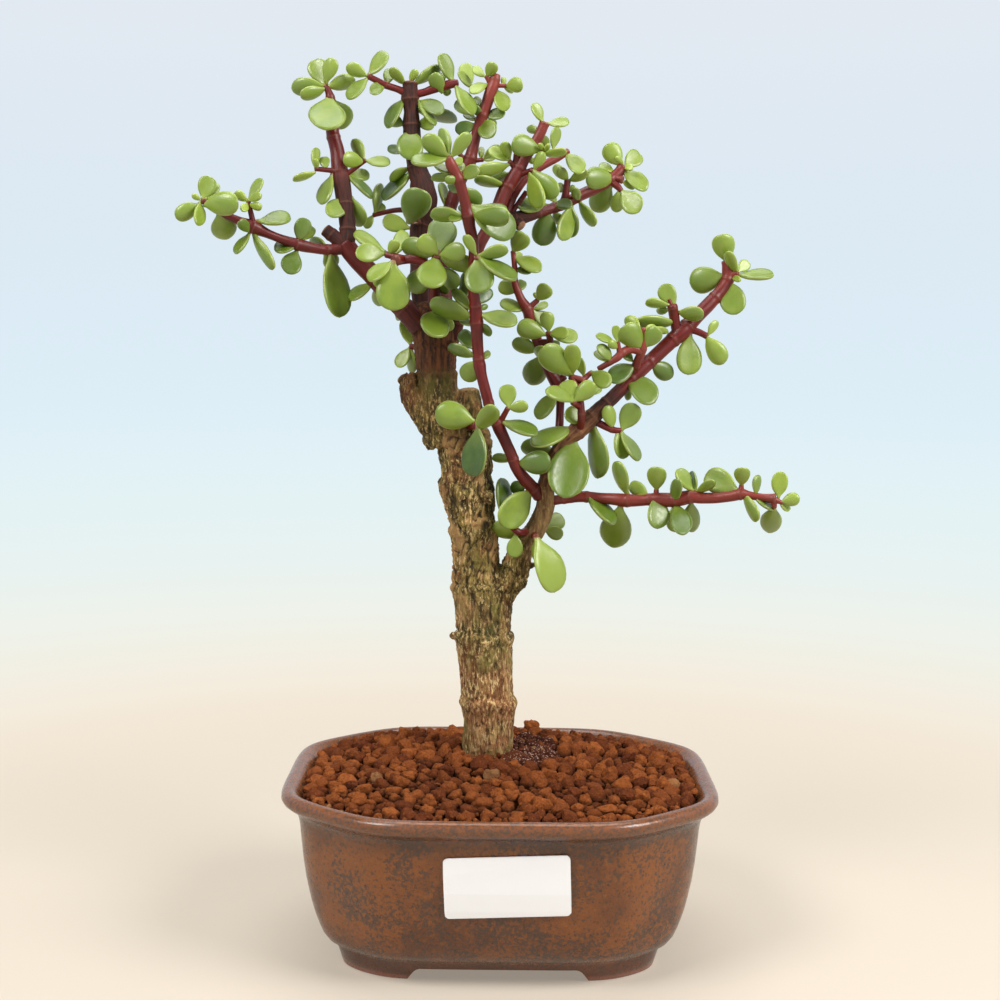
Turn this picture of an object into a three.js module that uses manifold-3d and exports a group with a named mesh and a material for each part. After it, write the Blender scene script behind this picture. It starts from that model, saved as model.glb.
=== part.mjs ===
// Dwarf jade bonsai (Portulacaria afra) in a soft-octagon ceramic pot. Millimetres, +Z up.
import * as THREE from 'three';
import Module from 'manifold-3d';

const wasm = await Module();
wasm.setup();

// ---- driving dimensions -------------------------------------------------------------------
// pot
const POT_X = 1.0;
const POT_HALF_X = 72.5;
const POT_HALF_Y = 58.7;
const POT_HEIGHT = 60;
const POT_SIDES = 36;
const CORNER_SOFTNESS = 18;
const CORNER_CUT = 1.56;
const FOOT_CUT = 1.7;
const FOOT_CUT_HEIGHT = 24;
const FLOOR_TOP = 11.5;
const FOOT_HEIGHT = 5;
const FOOT_HALF_X = 52.4;
const FOOT_HALF_Y = 35.2;
const FOOT_GAP_TOP_X = 26;
const FOOT_GAP_TOP_Y = 14;
const FOOT_GAP_FLARE = 3.4;
const FOOT_RIM_WIDTH = 11.8;
const DRAIN_X = 24;
const DRAIN_RADIUS = 6;
// drain mesh plates
const MESH_HALF = 8.5;
const MESH_THICK = 0.9;
const MESH_HOLE = 3.2;
const MESH_PITCH = 4.6;
// soil
const FIT_GAP = 0.35;
const SOIL_HOLE_X = -3.5;
const SOIL_HOLE_Y = 16;
const SOIL_HOLE_RADIUS = 9.8;
const SOIL_HOLE_FLOOR = 46.5;
const SOIL_EDGE_Z = 57.6;
const SOIL_RISE = 4.2;
const SOIL_GRAIN = 0.9;
// label plate
const LABEL_LEFT = -16.2;
const LABEL_RIGHT = 23.3;
const LABEL_BOTTOM = 28.2;
const LABEL_TOP = 48.3;
const LABEL_CORNER = 1.6;
const LABEL_THICK = 0.7;
const LABEL_TURN = 0.04;
// plant
const FAN_Y = -502.6;
const FAN_Z = 207.6;
const PLANE_Y = 16;
const TRUNK_SIDES = 12;
const BARK_RELIEF = 0.3;
const JOINT_GAP = 0.4;
const LEAF_THICK = 2.1;
const LEAF_SHAPE = 0.66;
const LEAF_GAP = 2.5;
const STEM_GAP = 1.4;
const SHIFT_LIMIT = 8;
const SMALL_LEAF = 30;
const MERGE = 0.25;
const RUN_SLACK = 0.4;

// Every point of the plant is written [x, z, depth, radius]: x and z are read where the point's
// line from the fan centre (0, FAN_Y, FAN_Z) meets the plane y = PLANE_Y, depth is its own y.
// A leaf is written [base x, base z, tip x, tip z, width across, tip depth less base depth].

// trunk rings from the root flare up to the crown, centre and half-width
const TRUNK = [
  [-3.5, 47, 16, 8.6], [-3.5, 54, 16, 8.6], [-3.5, 60, 16, 8.6], [-3.3, 66, 16, 9.1],
  [-3.2, 72, 16, 9.0], [-3.3, 76, 16, 9.3], [-3.4, 80, 16, 9.9], [-3.7, 84, 16, 9.4],
  [-4.2, 90, 16, 9.3], [-4.7, 96, 16, 9.6], [-5.2, 103.5, 16, 10.2], [-5.4, 108, 16, 9.7],
  [-5.5, 114, 16, 9.8], [-7, 120, 16, 9.2], [-7.9, 126, 16, 8.2], [-8.1, 131, 16, 8.1],
  [-8.6, 137, 16, 8.2], [-9, 141, 16, 8.4], [-10, 146, 16, 8.2], [-10.7, 150, 16, 8.8],
  [-11.8, 154.5, 16, 9.6], [-11.9, 157, 16, 9.2], [-11.6, 161, 16, 8.6], [-11.9, 165, 16, 9],
  [-12.5, 169, 16, 9.2], [-13, 172.5, 16, 9.7], [-14.5, 176, 16, 10.3], [-17.5, 180, 16, 8.7],
  [-20, 185, 16, 7.5], [-21.8, 190, 16, 6.9], [-22.1, 194, 16, 7.0], [-22.6, 199, 16, 7.0],
  [-22.6, 204.3, 16, 7.7], [-22.4, 210, 16.5, 8.6], [-22.4, 213, 17, 8.8],
  [-23.5, 216.5, 17.5, 7.8], [-24, 219.3, 18, 5.2]];
// the fork, the two sawn stubs, the pruning scars and the nub, all grown into the trunk
const TRUNK_LIMBS = [
  [[-2.5, 114, 16, 5.4], [-0.6, 117.5, 16, 5.6], [1.8, 121, 16, 5.5], [4.5, 125, 16, 5.3],
    [6.2, 130, 16, 4.9], [8.3, 135.5, 15, 4.1], [12.2, 141, 14.5, 3.7], [15.4, 148, 14, 3.4],
    [16, 152.5, 13.5, 3.3], [15.4, 156.5, 13, 2.6]],
  [[-20, 173, 15.5, 6.2], [-22.5, 176.5, 15, 6.0], [-27, 182, 15, 4.8], [-31, 187.5, 15, 4.0],
    [-32.4, 193.8, 15, 3.1]],
  [[-11.5, 170, 15, 6.6], [-11, 174, 15, 6.5], [-10.8, 180, 15, 5.2], [-11, 184.5, 15, 4.6],
    [-11.3, 189.3, 15, 3.8]],
  [[-7.2, 142.5, 13, 3.6], [-5.2, 142.8, 7.6, 2.2]],
  [[-5.4, 152.5, 12, 3.0], [-3.8, 152.4, 8.0, 1.9]],
  [[-18, 205.5, 12, 1.5], [-16.9, 205.4, 8.2, 0.9]],
  [[8.6, 128.3, 15, 1.8], [12, 128.8, 14, 1.1], [13.6, 129.5, 14, 0.7]],
  [[-13.5, 103.5, 16, 1.8], [-16.2, 103.6, 16, 0.9]]];

// every branch: the body it grows from, its stems (the first is the main one) and its leaves
const BRANCHES = [
  {name: 'left_branch', root: 'trunk',
    limbs: [
      [[-28, 211, 13, 3.9], [-33, 216.5, 12, 3.8], [-38, 221.5, 12, 3.6], [-45, 229, 12, 3.4],
        [-50, 234, 12, 3.3], [-54, 238.8, 12, 3.1]],
      [[-54, 238, 12, 2.6], [-57, 240.8, 12, 2.4], [-60.5, 243.5, 12, 2.2]],
      [[-53, 237.5, 12, 2.2], [-59, 236.9, 10, 1.9], [-64, 237.3, 8, 1.8], [-69.5, 238.4, 6, 2.1],
        [-75, 240.1, 4, 1.6], [-80, 242, 2, 1.6], [-85, 244.2, 0, 2.3], [-90, 246.3, -2, 1.5],
        [-94, 248, -3, 1.3], [-98, 250.4, -4, 1.1], [-102.3, 252.8, -5, 1.0]],
      [[-53.5, 238, 12, 3.0], [-53, 243, 13, 2.8], [-53.3, 247, 14, 2.7], [-54.3, 255, 16, 2.8],
        [-55.5, 262.5, 18, 2.9], [-56.5, 270, 20, 2.45], [-58, 276, 21, 2.3], [-58.5, 284, 23, 2.1],
        [-58.9, 288, 23, 1.5], [-60.2, 291.5, 23, 0.9]],
      [[-55.5, 263, 18, 1.2], [-58.5, 263.5, 16, 0.9], [-64, 264, 14, 0.8]],
      [[-54.5, 261.5, 18, 1.2], [-52, 263.3, 18, 0.9], [-47, 267, 19, 0.8]],
      [[-85, 244.8, 0, 1.1], [-86.8, 252.7, -1, 0.8]]],
    leaves: [
      [-102.5, 253.5, -99.5, 260.8, 6.5, 3], [-101.5, 253.6, -96.5, 257.8, 3.5, 5],
      [-102, 251.5, -90.5, 252.5, 8.5, -5], [-103.5, 251.9, -111.5, 247, 6, -2],
      [-103.3, 252.6, -104, 244.3, 4, -5], [-103, 253.2, -106, 254.8, 1.8, -1],
      [-97, 249, -94, 239.8, 9, 5], [-86.3, 242.5, -89.6, 246.3, 4, -4],
      [-86.5, 242.2, -91.3, 235, 2.6, -3], [-85, 242.4, -79, 229.7, 3, -3],
      [-83.5, 246.3, -72.3, 247, 4.5, 4], [-86.8, 253.2, -81.8, 260.3, 3.2, 2],
      [-86.6, 252.9, -82.3, 255.4, 3, -2], [-86.9, 252.9, -91.5, 255.8, 3.2, 0],
      [-87, 252.5, -89, 249.4, 3, -3], [-86.4, 252.1, -82.4, 250.5, 3, -3],
      [-70, 239.7, -67, 247.3, 6, 3], [-68.3, 240, -65, 244.5, 4, 5],
      [-70, 238.8, -78, 236.5, 4.3, -5], [-70.3, 236.5, -73.5, 228.5, 7.3, -3],
      [-60, 238, -66, 240.2, 3.2, 5], [-61, 235.7, -56.8, 231, 6, 4],
      [-58.7, 235.2, -56.2, 213.8, 9, -4], [-51.5, 252.5, -60.5, 249.3, 6.5, -5],
      [-51.8, 254.8, -48.5, 244.7, 6, 3], [-58.3, 262, -62, 252, 4.5, -3],
      [-64, 264.5, -64, 271, 3, 2], [-64, 262.9, -71.5, 259.8, 2.5, -2],
      [-63, 263.9, -64.5, 267.2, 2.2, -2], [-60.5, 264, -61, 268, 3.7, 3],
      [-47.3, 267.3, -51.5, 274, 4.2, 3], [-47, 267, -38.5, 266, 3.5, 1],
      [-47.7, 266.3, -54.3, 267.8, 5.5, -4], [-53, 261.8, -44.3, 254.5, 2.6, -2],
      [-53, 262.3, -45.5, 261.5, 4, 5], [-59, 288, -60.5, 276.3, 13, -5],
      [-58, 287, -54, 277.5, 9.4, 5], [-61, 291.9, -64, 300, 7, 2],
      [-60, 292.6, -58.5, 300.8, 5.2, -1], [-60, 291.2, -50.2, 293.5, 5.5, 3],
      [-61, 291.6, -72, 290.6, 6.5, 1], [-60.5, 290.8, -68.7, 287.6, 4.6, -4],
      [-44.5, 226, -52.3, 219.7, 3.9, -2], [-43, 225, -42, 217.8, 5, 4],
      [-34.5, 216.3, -36, 213.2, 2.4, 1]]},
  {name: 'front_left_branch', root: 'trunk',
    limbs: [
      [[-22, 212, 14, 2.4], [-23, 219, 6, 2.2], [-23.5, 225, 3, 2.0], [-23.5, 231, 0, 1.9],
        [-22.4, 235.4, -3, 1.5]],
      [[-23.7, 231.5, 0, 1.4], [-30, 233.8, -1, 1.5], [-34, 233.8, -1, 1.6], [-36.6, 233.5, -5, 1.9]],
      [[-33, 233.8, -1, 1.4], [-39.8, 235.5, 1, 1.1]]],
    leaves: [
      [-21.8, 236.5, -20, 247, 10.2, 2], [-22.2, 235.8, -28.5, 241.3, 6.9, -3],
      [-23, 235.5, -34.9, 238.7, 7.2, 1], [-21.4, 235.5, -13, 237.3, 6.6, -2],
      [-22.6, 234.8, -25.3, 224.5, 10.5, -6], [-24.8, 231, -31.8, 223.2, 8, 2],
      [-22, 232, -15.8, 224.2, 5.9, 1], [-22.8, 226.5, -18.5, 222.7, 3.4, 3],
      [-21.5, 234.9, -9.8, 231.4, 6.2, 1], [-40, 236.2, -51, 242, 4.2, 3],
      [-40.2, 235.6, -50.3, 236, 6.6, -2], [-38.7, 235.4, -36.5, 240.2, 4, -3],
      [-37.5, 235.2, -33, 243.2, 5, 2], [-37.9, 233, -45.8, 226.4, 5.2, -1],
      [-37.5, 232.5, -43, 224.4, 3.4, 3], [-37.2, 232.4, -37.4, 216.4, 12, -2]]},
  {name: 'leader', root: 'trunk',
    limbs: [
      [[-26, 213, 20, 4.0], [-27.5, 221, 21, 3.6], [-28.5, 230, 21.5, 3.2], [-28.8, 238, 22, 3.0],
        [-28.7, 244, 22, 3.2], [-27.2, 249.5, 22, 3.9], [-27, 255, 22, 4.5], [-28, 260, 22.5, 3.9],
        [-29, 263, 23, 3.4], [-30.8, 272, 24, 3.0], [-31.4, 279, 24.5, 2.9], [-31.6, 284, 25, 2.5],
        [-32, 288.5, 25, 2.9], [-32, 292.8, 25, 2.4]],
      [[-32, 289, 25, 1.6], [-36, 290.7, 24, 1.2], [-40, 292, 23, 1.2], [-46, 294.9, 22, 1.0]],
      [[-31.5, 288.8, 25, 1.5], [-27, 289.8, 25.5, 1.3], [-23, 291.3, 26, 1.6],
        [-17.7, 292.7, 27, 1.5], [-15.8, 293.1, 27, 1.1]],
      [[-28.6, 246, 21, 1.3], [-29.2, 246.6, 17.4, 1.1]],
      [[-28, 250, 23, 1.1], [-36, 250.5, 26, 0.9], [-44.2, 248.7, 27, 0.8]]],
    leaves: [
      [-32.2, 246.2, -28.2, 257.4, 10.6, -9], [-31.8, 244.5, -41, 247, 6, 1],
      [-31.8, 264.8, -38.6, 260.2, 3.2, 0], [-31.8, 263, -40.4, 253.4, 4.2, 2],
      [-33, 270.5, -39.4, 270.5, 3.2, 4], [-33.5, 278.8, -40.6, 281.6, 4.6, 1],
      [-29.5, 279.3, -23.6, 279.6, 4.8, 2], [-31.4, 277.7, -32, 267.5, 9.2, -5],
      [-33.8, 287.4, -40, 278.1, 4.2, 0], [-29.6, 287.3, -23, 279, 2.4, -3],
      [-29.3, 286.8, -20.3, 283.5, 5, 2], [-29.5, 284, -15.8, 280.2, 4.2, 6],
      [-33.2, 292.4, -39, 297.1, 3.4, -3], [-31.6, 292.9, -30.2, 297.4, 2.8, -3],
      [-30.9, 292.4, -21.4, 298.3, 3.4, 4], [-46.2, 295, -53.5, 298, 4.6, 1],
      [-45.9, 295.3, -39.5, 302.6, 4.7, 3], [-46.3, 294.2, -53, 287.2, 4.3, -3],
      [-40.3, 291.8, -45.5, 289.6, 4.1, -4], [-39.8, 292.4, -38.5, 297.2, 4.1, 3],
      [-21, 289.6, -24.3, 296, 5.4, -4], [-22, 292.5, -21.3, 296.2, 3.4, 4],
      [-19.5, 291.6, -19.3, 288.6, 3, 3], [-17.3, 293.3, -21.9, 302.4, 4.6, -1],
      [-16.6, 292.2, -10.5, 282.2, 4.7, -4], [-44.3, 248.7, -46.9, 244.2, 3.2, 0],
      [-43.5, 248.9, -40.6, 252.3, 3.2, 1], [-43.7, 249.2, -41.4, 259.4, 3.4, 3]]},
  {name: 'back_stem', root: 'trunk',
    limbs: [
      [[-18, 211, 22, 2.6], [-19.5, 222, 25, 2.4], [-20.3, 235, 27, 2.3], [-19.3, 246, 28, 2.3],
        [-17.3, 254, 28.5, 2.3], [-14.8, 260.5, 29, 2.2], [-12.7, 264.5, 29.3, 2.2],
        [-11.6, 267, 29.5, 2.4], [-10.7, 270.5, 29.7, 2.0], [-9.5, 275.5, 30, 1.8],
        [-7.6, 281.5, 30, 2.0], [-6.3, 285, 30, 1.9], [-5, 289, 30, 2.1], [-3.8, 292.3, 30, 2.0],
        [-2.9, 295.8, 30, 1.6]],
      [[-12, 266.8, 29.5, 0.9], [-15.3, 269.6, 28.5, 0.7]],
      [[-11, 267.2, 29.5, 0.9], [-7, 267.6, 28.5, 0.7]],
      [[-4.6, 292.5, 30, 0.9], [-6.1, 295.3, 29.5, 0.8]],
      [[-3.4, 292.3, 30, 0.8], [0.7, 292.2, 29.5, 0.7]],
      [[-4.8, 292, 30, 1.0], [-11.2, 291.7, 32.5, 0.8]]],
    leaves: [
      [-6.4, 295.2, -10.9, 297.9, 2.8, 2], [-6, 295.1, -3.5, 299.7, 4.4, -2],
      [0.6, 292.2, 6, 292.9, 5.4, -1], [-0.6, 292.3, 0, 295, 2, 2],
      [-0.2, 291.9, 3, 290, 1.8, 2], [-3, 291, 0.9, 283.9, 5.4, -2],
      [-5.6, 292.8, -11.9, 289.8, 3.7, -3], [-11, 291.4, -15.9, 296.4, 2.8, -3],
      [-11.4, 292, -13.8, 299.3, 5.2, 2], [-6.6, 282, 0.4, 283.3, 4.1, -2],
      [-7.4, 281.9, -10.7, 285.3, 3, -3], [-8.3, 280.8, -3.5, 275.2, 6.8, -5],
      [-6.3, 280.4, -2.4, 279.6, 2.7, 3], [-8, 283.8, -17, 285.8, 5.3, 1],
      [-7, 285, -10.7, 287.8, 2.8, 4], [-9, 281, -13.8, 282.4, 2.6, 4],
      [-9.5, 279.4, -16.5, 277.1, 4.9, -1], [-7, 267.8, -1.2, 272.3, 2.5, 3],
      [-7.9, 267.9, -7.3, 271.7, 2.2, 1], [-7, 267.5, -3, 269.9, 4, 4],
      [-18.5, 251, -22, 259.6, 2.8, 4], [-15.2, 269.3, -14.3, 272, 2.6, 3]]},
  {name: 'right_leader', root: 'trunk',
    limbs: [
      [[-17, 208, 14, 2.8], [-14.5, 216, 11, 2.6], [-12.5, 224, 9, 2.4], [-10.3, 231.5, 8, 2.3],
        [-8.3, 238.5, 8, 2.2], [-5.5, 243.8, 9, 2.2], [-2.3, 250, 10, 2.4], [0.5, 257, 11, 2.5],
        [3, 261, 11.5, 2.5], [4.8, 264, 12, 2.4], [7.2, 268.5, 12, 2.0], [10, 272.6, 12, 1.9],
        [12, 276, 12, 1.8], [13.7, 280, 12, 1.7]],
      [[4, 265.5, 12, 1.2], [4.4, 269.6, 11, 1.1]],
      [[4.2, 264.5, 12, 1.0], [2, 267.2, 10, 0.8]],
      [[5, 262.5, 12, 1.1], [9.8, 264.4, 9, 0.9]],
      [[9.3, 271.5, 12, 0.9], [12.9, 270.2, 9.5, 0.8]]],
    leaves: [
      [12.4, 270.7, 2.8, 273.8, 7.4, -5], [2.2, 268, -0.3, 273.6, 4, -1],
      [1.8, 267.6, -5.3, 270.8, 3.8, -3], [1.8, 266.3, -8.5, 262.6, 4.6, -2],
      [2, 263, -8.3, 260.6, 5.8, 1], [0.6, 259.5, -9.9, 260.4, 3.2, -3],
      [10.2, 264.2, 17.7, 255.2, 7.2, -3], [10.4, 264.6, 13.1, 270.6, 3.7, -2],
      [8.9, 263.6, 13, 251.5, 5.4, -4], [9.6, 263.4, 17.7, 253.6, 2.2, 1],
      [8.6, 268.8, 10.6, 266.6, 2.2, 3], [13.2, 280.4, 9.2, 286.3, 3.4, -1],
      [14.8, 279.9, 22, 280, 3.4, 1], [12, 277, 7.8, 278.4, 3, 4],
      [12.6, 276.5, 14.4, 272.4, 3.7, 4], [12.8, 270.7, 12.6, 273.3, 1.8, -3],
      [13.2, 270.6, 15.7, 272.7, 1.7, -3], [13.1, 270, 21.3, 270.2, 2.9, -4],
      [-13, 219.5, -13.5, 229.6, 3.4, -5]]},
  {name: 'back_right_branch', root: 'right_leader',
    limbs: [
      [[-1.5, 248.5, 11, 2.7], [3.5, 247.6, 15, 2.8], [8, 249, 18, 2.3], [14, 250.8, 22, 1.9],
        [20, 252.8, 25, 1.9], [26, 256, 28, 2.0], [31.5, 258.7, 30, 2.0], [36, 261.3, 32, 2.0],
        [38.8, 263.5, 33, 1.9], [40.3, 265.8, 33.5, 1.7]],
      [[4, 247.4, 15, 2.5], [6.2, 245.7, 13.5, 2.0]],
      [[36.2, 261, 32, 1.1], [38.7, 259.3, 31, 1.2], [40, 257.8, 30.5, 0.9]],
      [[37, 262.3, 32.5, 1.2], [40.4, 261.4, 31, 1.3]],
      [[20.5, 253, 25, 1.5], [21.2, 256.5, 25, 1.3], [21.8, 261, 25, 1.1]],
      [[1, 249, 14, 1.6], [3, 254.8, 16, 1.5], [6.5, 260.5, 17.5, 1.5], [10.5, 264, 19, 1.4],
        [13.5, 266, 20, 1.4], [19, 269, 22, 1.3], [21.8, 270.9, 23, 1.0]],
      [[2.6, 249.5, 15, 0.9], [7.8, 257, 16, 0.9]],
      [[15.8, 267.2, 21, 0.6], [16.8, 271.5, 21, 0.5]]],
    leaves: [
      [39.8, 266, 35, 273.4, 6.8, -1], [41.2, 266, 46, 270.2, 6.2, 1],
      [40.4, 266.2, 38.7, 269.5, 1.8, -3], [40.4, 265.8, 44, 265.2, 2.3, -3],
      [40.6, 264.6, 48.7, 257.9, 5.4, -2], [40.5, 261, 44.9, 259, 3.4, 3],
      [40.2, 257.9, 46.4, 250.7, 7.6, -2], [39.2, 257.9, 38.4, 250.5, 4.7, 2],
      [36.7, 259.5, 30.5, 250.8, 8, 3], [37.8, 261.3, 28.3, 262.3, 7.8, -5],
      [37.8, 263.8, 32.3, 266.2, 2.8, 2], [25.8, 254.2, 24, 258.2, 3.3, -4],
      [26, 254, 31.1, 245.7, 4.1, -3], [17, 253, 23.8, 252.7, 3.8, -5],
      [17.3, 251, 19.3, 246.1, 3.5, 4], [22.8, 252.5, 20, 240.7, 5.6, -3],
      [23.3, 252.5, 23.2, 241.8, 4.6, 3], [15.6, 250.6, 13, 239, 8.5, 2],
      [20.8, 257.3, 18.2, 259.4, 3.4, 3], [21.8, 258, 24.5, 258.4, 2.8, 3],
      [15.5, 252.5, 4.6, 252.4, 5.2, -4], [21.6, 261, 16.9, 266, 3.7, 1],
      [22, 261, 18.7, 264.8, 3.9, -3], [22.1, 261, 28.7, 263.7, 3.8, -1],
      [20.8, 270, 27.3, 263.7, 5.6, -2], [16.8, 271.4, 17.7, 278.8, 3.7, 1]]},
  {name: 'front_stem', root: 'trunk',
    limbs: [
      [[13.6, 153.2, 13, 2.4], [11.3, 156, 11, 2.3], [8.4, 159, 9, 2.2], [5.5, 163, 7, 2.0],
        [3.7, 167.5, 6, 2.0], [1.4, 172.5, 5, 2.0], [-0.7, 176.8, 4, 2.2], [-2.1, 180, 3, 1.9],
        [-3.6, 183, 2.5, 1.9], [-5.6, 190, 1.5, 1.9], [-6.9, 195, 1, 1.9], [-7.5, 198, 1, 2.2],
        [-7.9, 200.5, 0.6, 2.0], [-8.3, 205, 0, 2.0], [-8.6, 210, -1, 2.1],
        [-8.9, 214.5, -1.5, 2.4], [-9.4, 220, -3, 1.95], [-10, 225, -4, 1.8],
        [-9.9, 232, -5, 1.8], [-9.9, 238, -6, 1.8], [-10.4, 241.5, -6.5, 1.9],
        [-11.3, 245, -7, 2.0], [-12, 249, -8, 2.3], [-12.7, 252, -8.5, 1.9],
        [-14.3, 258, -10, 1.9], [-15.5, 261.3, -11, 2.1], [-16.3, 263, -11.5, 1.9],
        [-18, 266.2, -12.5, 1.9], [-18.5, 268.3, -13, 1.2]],
      [[-9.8, 232, -5, 1.4], [-8.8, 235, -9.5, 1.1]],
      [[-0.4, 178.3, 3.5, 1.1], [2.4, 183.5, 1, 0.9]]],
    leaves: [
      [10.9, 155.2, -0.1, 142.7, 10.4, -6], [9, 157.4, 3.8, 154.7, 5.2, 4],
      [4.3, 165.8, -3, 166, 3.2, 4], [6, 164.4, 17.3, 164.9, 8.5, -4],
      [0.4, 179, 12.8, 174.5, 4.4, -2], [2.6, 183.8, 2, 191.6, 6.2, 2],
      [2.5, 183.5, 9.4, 184.2, 4.4, -1], [-7, 200.6, -3.9, 202.4, 2.4, 3],
      [-8.5, 199.8, -12.7, 192.8, 7, 4], [-9, 201.3, -18.7, 204.1, 3.9, 2],
      [-9.5, 203.8, -14.3, 209.5, 5.2, 5], [-7.8, 212.8, -3.9, 208, 3, 3],
      [-10, 214.9, -25, 218.6, 6.5, -1], [-7.5, 215.6, 5.3, 212.6, 5.2, -3],
      [-10.3, 217.2, -17.5, 223.6, 3.8, 1], [-8.6, 218.8, -4.7, 224.6, 5.2, 5],
      [-7.8, 217, -5, 218.7, 2.1, 2], [-10, 212, -14.6, 213.6, 2.8, 5],
      [-13, 249, -24.9, 248.5, 4.6, 2], [-13.2, 248.5, -18.6, 247.3, 2.2, -2],
      [-13, 250, -15, 252, 2.2, 3], [-10.8, 250.5, 1.5, 250.5, 3.8, -1],
      [-10.4, 249.3, 1.8, 247.7, 6.8, -3], [-11.3, 252.2, 3.7, 242.3, 10.6, 5],
      [-14.4, 261.5, -8.2, 264.9, 4.8, -3], [-14.8, 261.2, -19.8, 260.3, 3.1, -3],
      [-16.5, 261.6, -24.7, 261.1, 2.5, 3], [-17, 262.7, -23.7, 265.8, 2.8, 3],
      [-15.6, 263.5, -13.7, 266.3, 2.7, 4], [-17.9, 268.6, -11, 276.1, 4.8, -1],
      [-18.9, 268.8, -27.6, 274.9, 6.3, -1], [-18.4, 268.8, -21.3, 278, 3.7, 4],
      [-19.2, 267.8, -31.5, 266.6, 4.2, -3], [-17, 267, -14, 267, 3, 4],
      [-14, 258.3, -8, 251.8, 6.6, 5], [-14.8, 256.5, -19, 259.3, 3, 5],
      [-8.4, 235.5, 2, 237, 4.4, 0], [-9, 235.8, -13.5, 242.1, 3.4, -1],
      [-8.9, 234.6, -7.2, 222.5, 10.5, -5], [-8, 234.9, 4.5, 226.9, 4.4, -1],
      [-8, 234.2, -3.8, 232.2, 2.6, 3]]},
  {name: 'right_back_stem', root: 'right_branch',
    limbs: [
      [[19.5, 169.5, 13, 1.8], [20.2, 176, 18, 1.5], [20.4, 183, 20, 1.4], [20.4, 189, 20, 1.7],
        [19.3, 192.3, 20, 2.5], [17.4, 195.3, 20, 2.2], [14.9, 200, 19.5, 1.9],
        [12.5, 206, 19, 1.8], [10, 212.5, 18.5, 1.9], [8.8, 217.2, 18, 2.0], [6.4, 221, 18, 1.5],
        [4.3, 226.5, 18, 1.2], [4.2, 231, 18, 1.0], [3.5, 237, 18, 0.8]],
      [[12.4, 206, 19, 1.5], [16.4, 206.4, 16, 1.3], [16, 209.6, 14, 1.0]],
      [[19.3, 192.8, 20, 1.3], [21.8, 194.6, 19, 1.25]],
      [[8.9, 217.7, 18, 1.1], [12.2, 220.6, 18, 0.9]]],
    leaves: [
      [3.5, 236.9, 7.3, 243.2, 7, 0], [4, 235, 13.3, 230.5, 5.3, -1],
      [3.8, 235, 6.8, 236.1, 2.2, 3], [4.3, 231, 10.1, 230.2, 3, -2],
      [5, 223.3, -1.1, 225.7, 5.2, 3], [5.5, 223.5, 7, 227.2, 3.8, 4],
      [8, 217.3, -0.8, 219.4, 4.1, 1], [12.1, 220.6, 15.7, 225.4, 5.8, -1],
      [12, 220.7, 11.2, 223.2, 1.6, 1], [10.3, 217.2, 17.3, 211.7, 5.2, 1],
      [10.8, 217.7, 15.8, 219.1, 2.5, 3], [16.1, 209.8, 15.2, 216.6, 5.1, -2],
      [15.2, 208.8, 5.4, 211.9, 7, -2], [16, 209.2, 23.2, 209.3, 4.5, -4],
      [16.6, 209.4, 26, 207.7, 5.2, 2], [16.6, 207, 18.9, 203.6, 4.8, 2],
      [12.8, 203.3, 3.5, 206.1, 5.6, 1], [13.5, 201.7, 10, 191.4, 8.6, 1],
      [19.3, 189.5, 12.6, 179.8, 5.7, -2]]},
  {name: 'right_front_stem', root: 'right_branch',
    limbs: [
      [[27.5, 177, 11, 1.4], [27.8, 181, 8, 1.3], [27.3, 186.5, 8, 1.25], [26, 190.5, 9, 1.2],
        [24.3, 194.5, 10, 1.3]],
      [[24.3, 194.3, 10, 1.2], [27.9, 193.4, 9, 1.2]],
      [[26.3, 191.5, 9.5, 0.9], [28.9, 194.2, 12, 1.0], [30.8, 195.9, 12, 0.9]],
      [[27.4, 184, 8, 1.1], [24.9, 185.7, 4.5, 1.1]]],
    leaves: [
      [24.7, 185.9, 15.4, 190.1, 4.9, -3], [24.7, 186.2, 22, 193, 7, 1],
      [25.2, 186.1, 32.3, 192.3, 6.2, -1], [27.2, 188.8, 34.8, 190.2, 3.2, 3],
      [24.2, 195.3, 14.3, 204, 9.4, -3], [24.4, 195.4, 24.6, 205.5, 6, -1],
      [23.9, 195.6, 11, 203.9, 5, 2], [23.6, 195, 13.9, 200.2, 2.8, 3],
      [28.4, 194.8, 26.6, 201.4, 3.4, 2], [30.8, 196.4, 37.8, 191.7, 6.2, -3]]},
  {name: 'right_branch', root: 'trunk',
    limbs: [
      [[15.2, 154.5, 13, 2.7], [16.2, 159, 13, 2.5], [17.7, 165, 13, 2.4], [20.5, 170.5, 13, 2.3],
        [23.5, 173.5, 13, 2.8], [26.5, 175.8, 13, 3.3], [29.5, 178.5, 13.5, 3.2],
        [32.5, 181.5, 14, 2.8], [36.5, 185.7, 15, 2.45], [41, 190, 17, 2.4], [47, 196.3, 19, 2.6],
        [52.3, 201.3, 21, 2.5], [58, 206.8, 23, 2.6], [62, 210.5, 24, 3.0], [66.5, 215.3, 26, 2.5],
        [71, 220, 28, 2.4], [75.3, 225, 30, 2.2], [77.2, 229.3, 31, 2.3], [76.8, 234.3, 31, 1.9]],
      [[77.2, 229.3, 31, 2.0], [80.5, 230.4, 30, 1.5]],
      [[32.3, 179.4, 14, 1.4], [38.5, 176.5, 12, 1.2], [41.6, 176.2, 12, 0.9]],
      [[60, 210, 23.5, 1.6], [59, 216, 22, 1.8], [58.3, 219.3, 21, 1.7]],
      [[58.2, 219, 21, 0.7], [57.2, 221.3, 21, 0.6]],
      [[63.5, 211.3, 25, 1.3], [67, 210.5, 24, 1.2], [70.4, 209, 23, 1.1]]],
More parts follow.
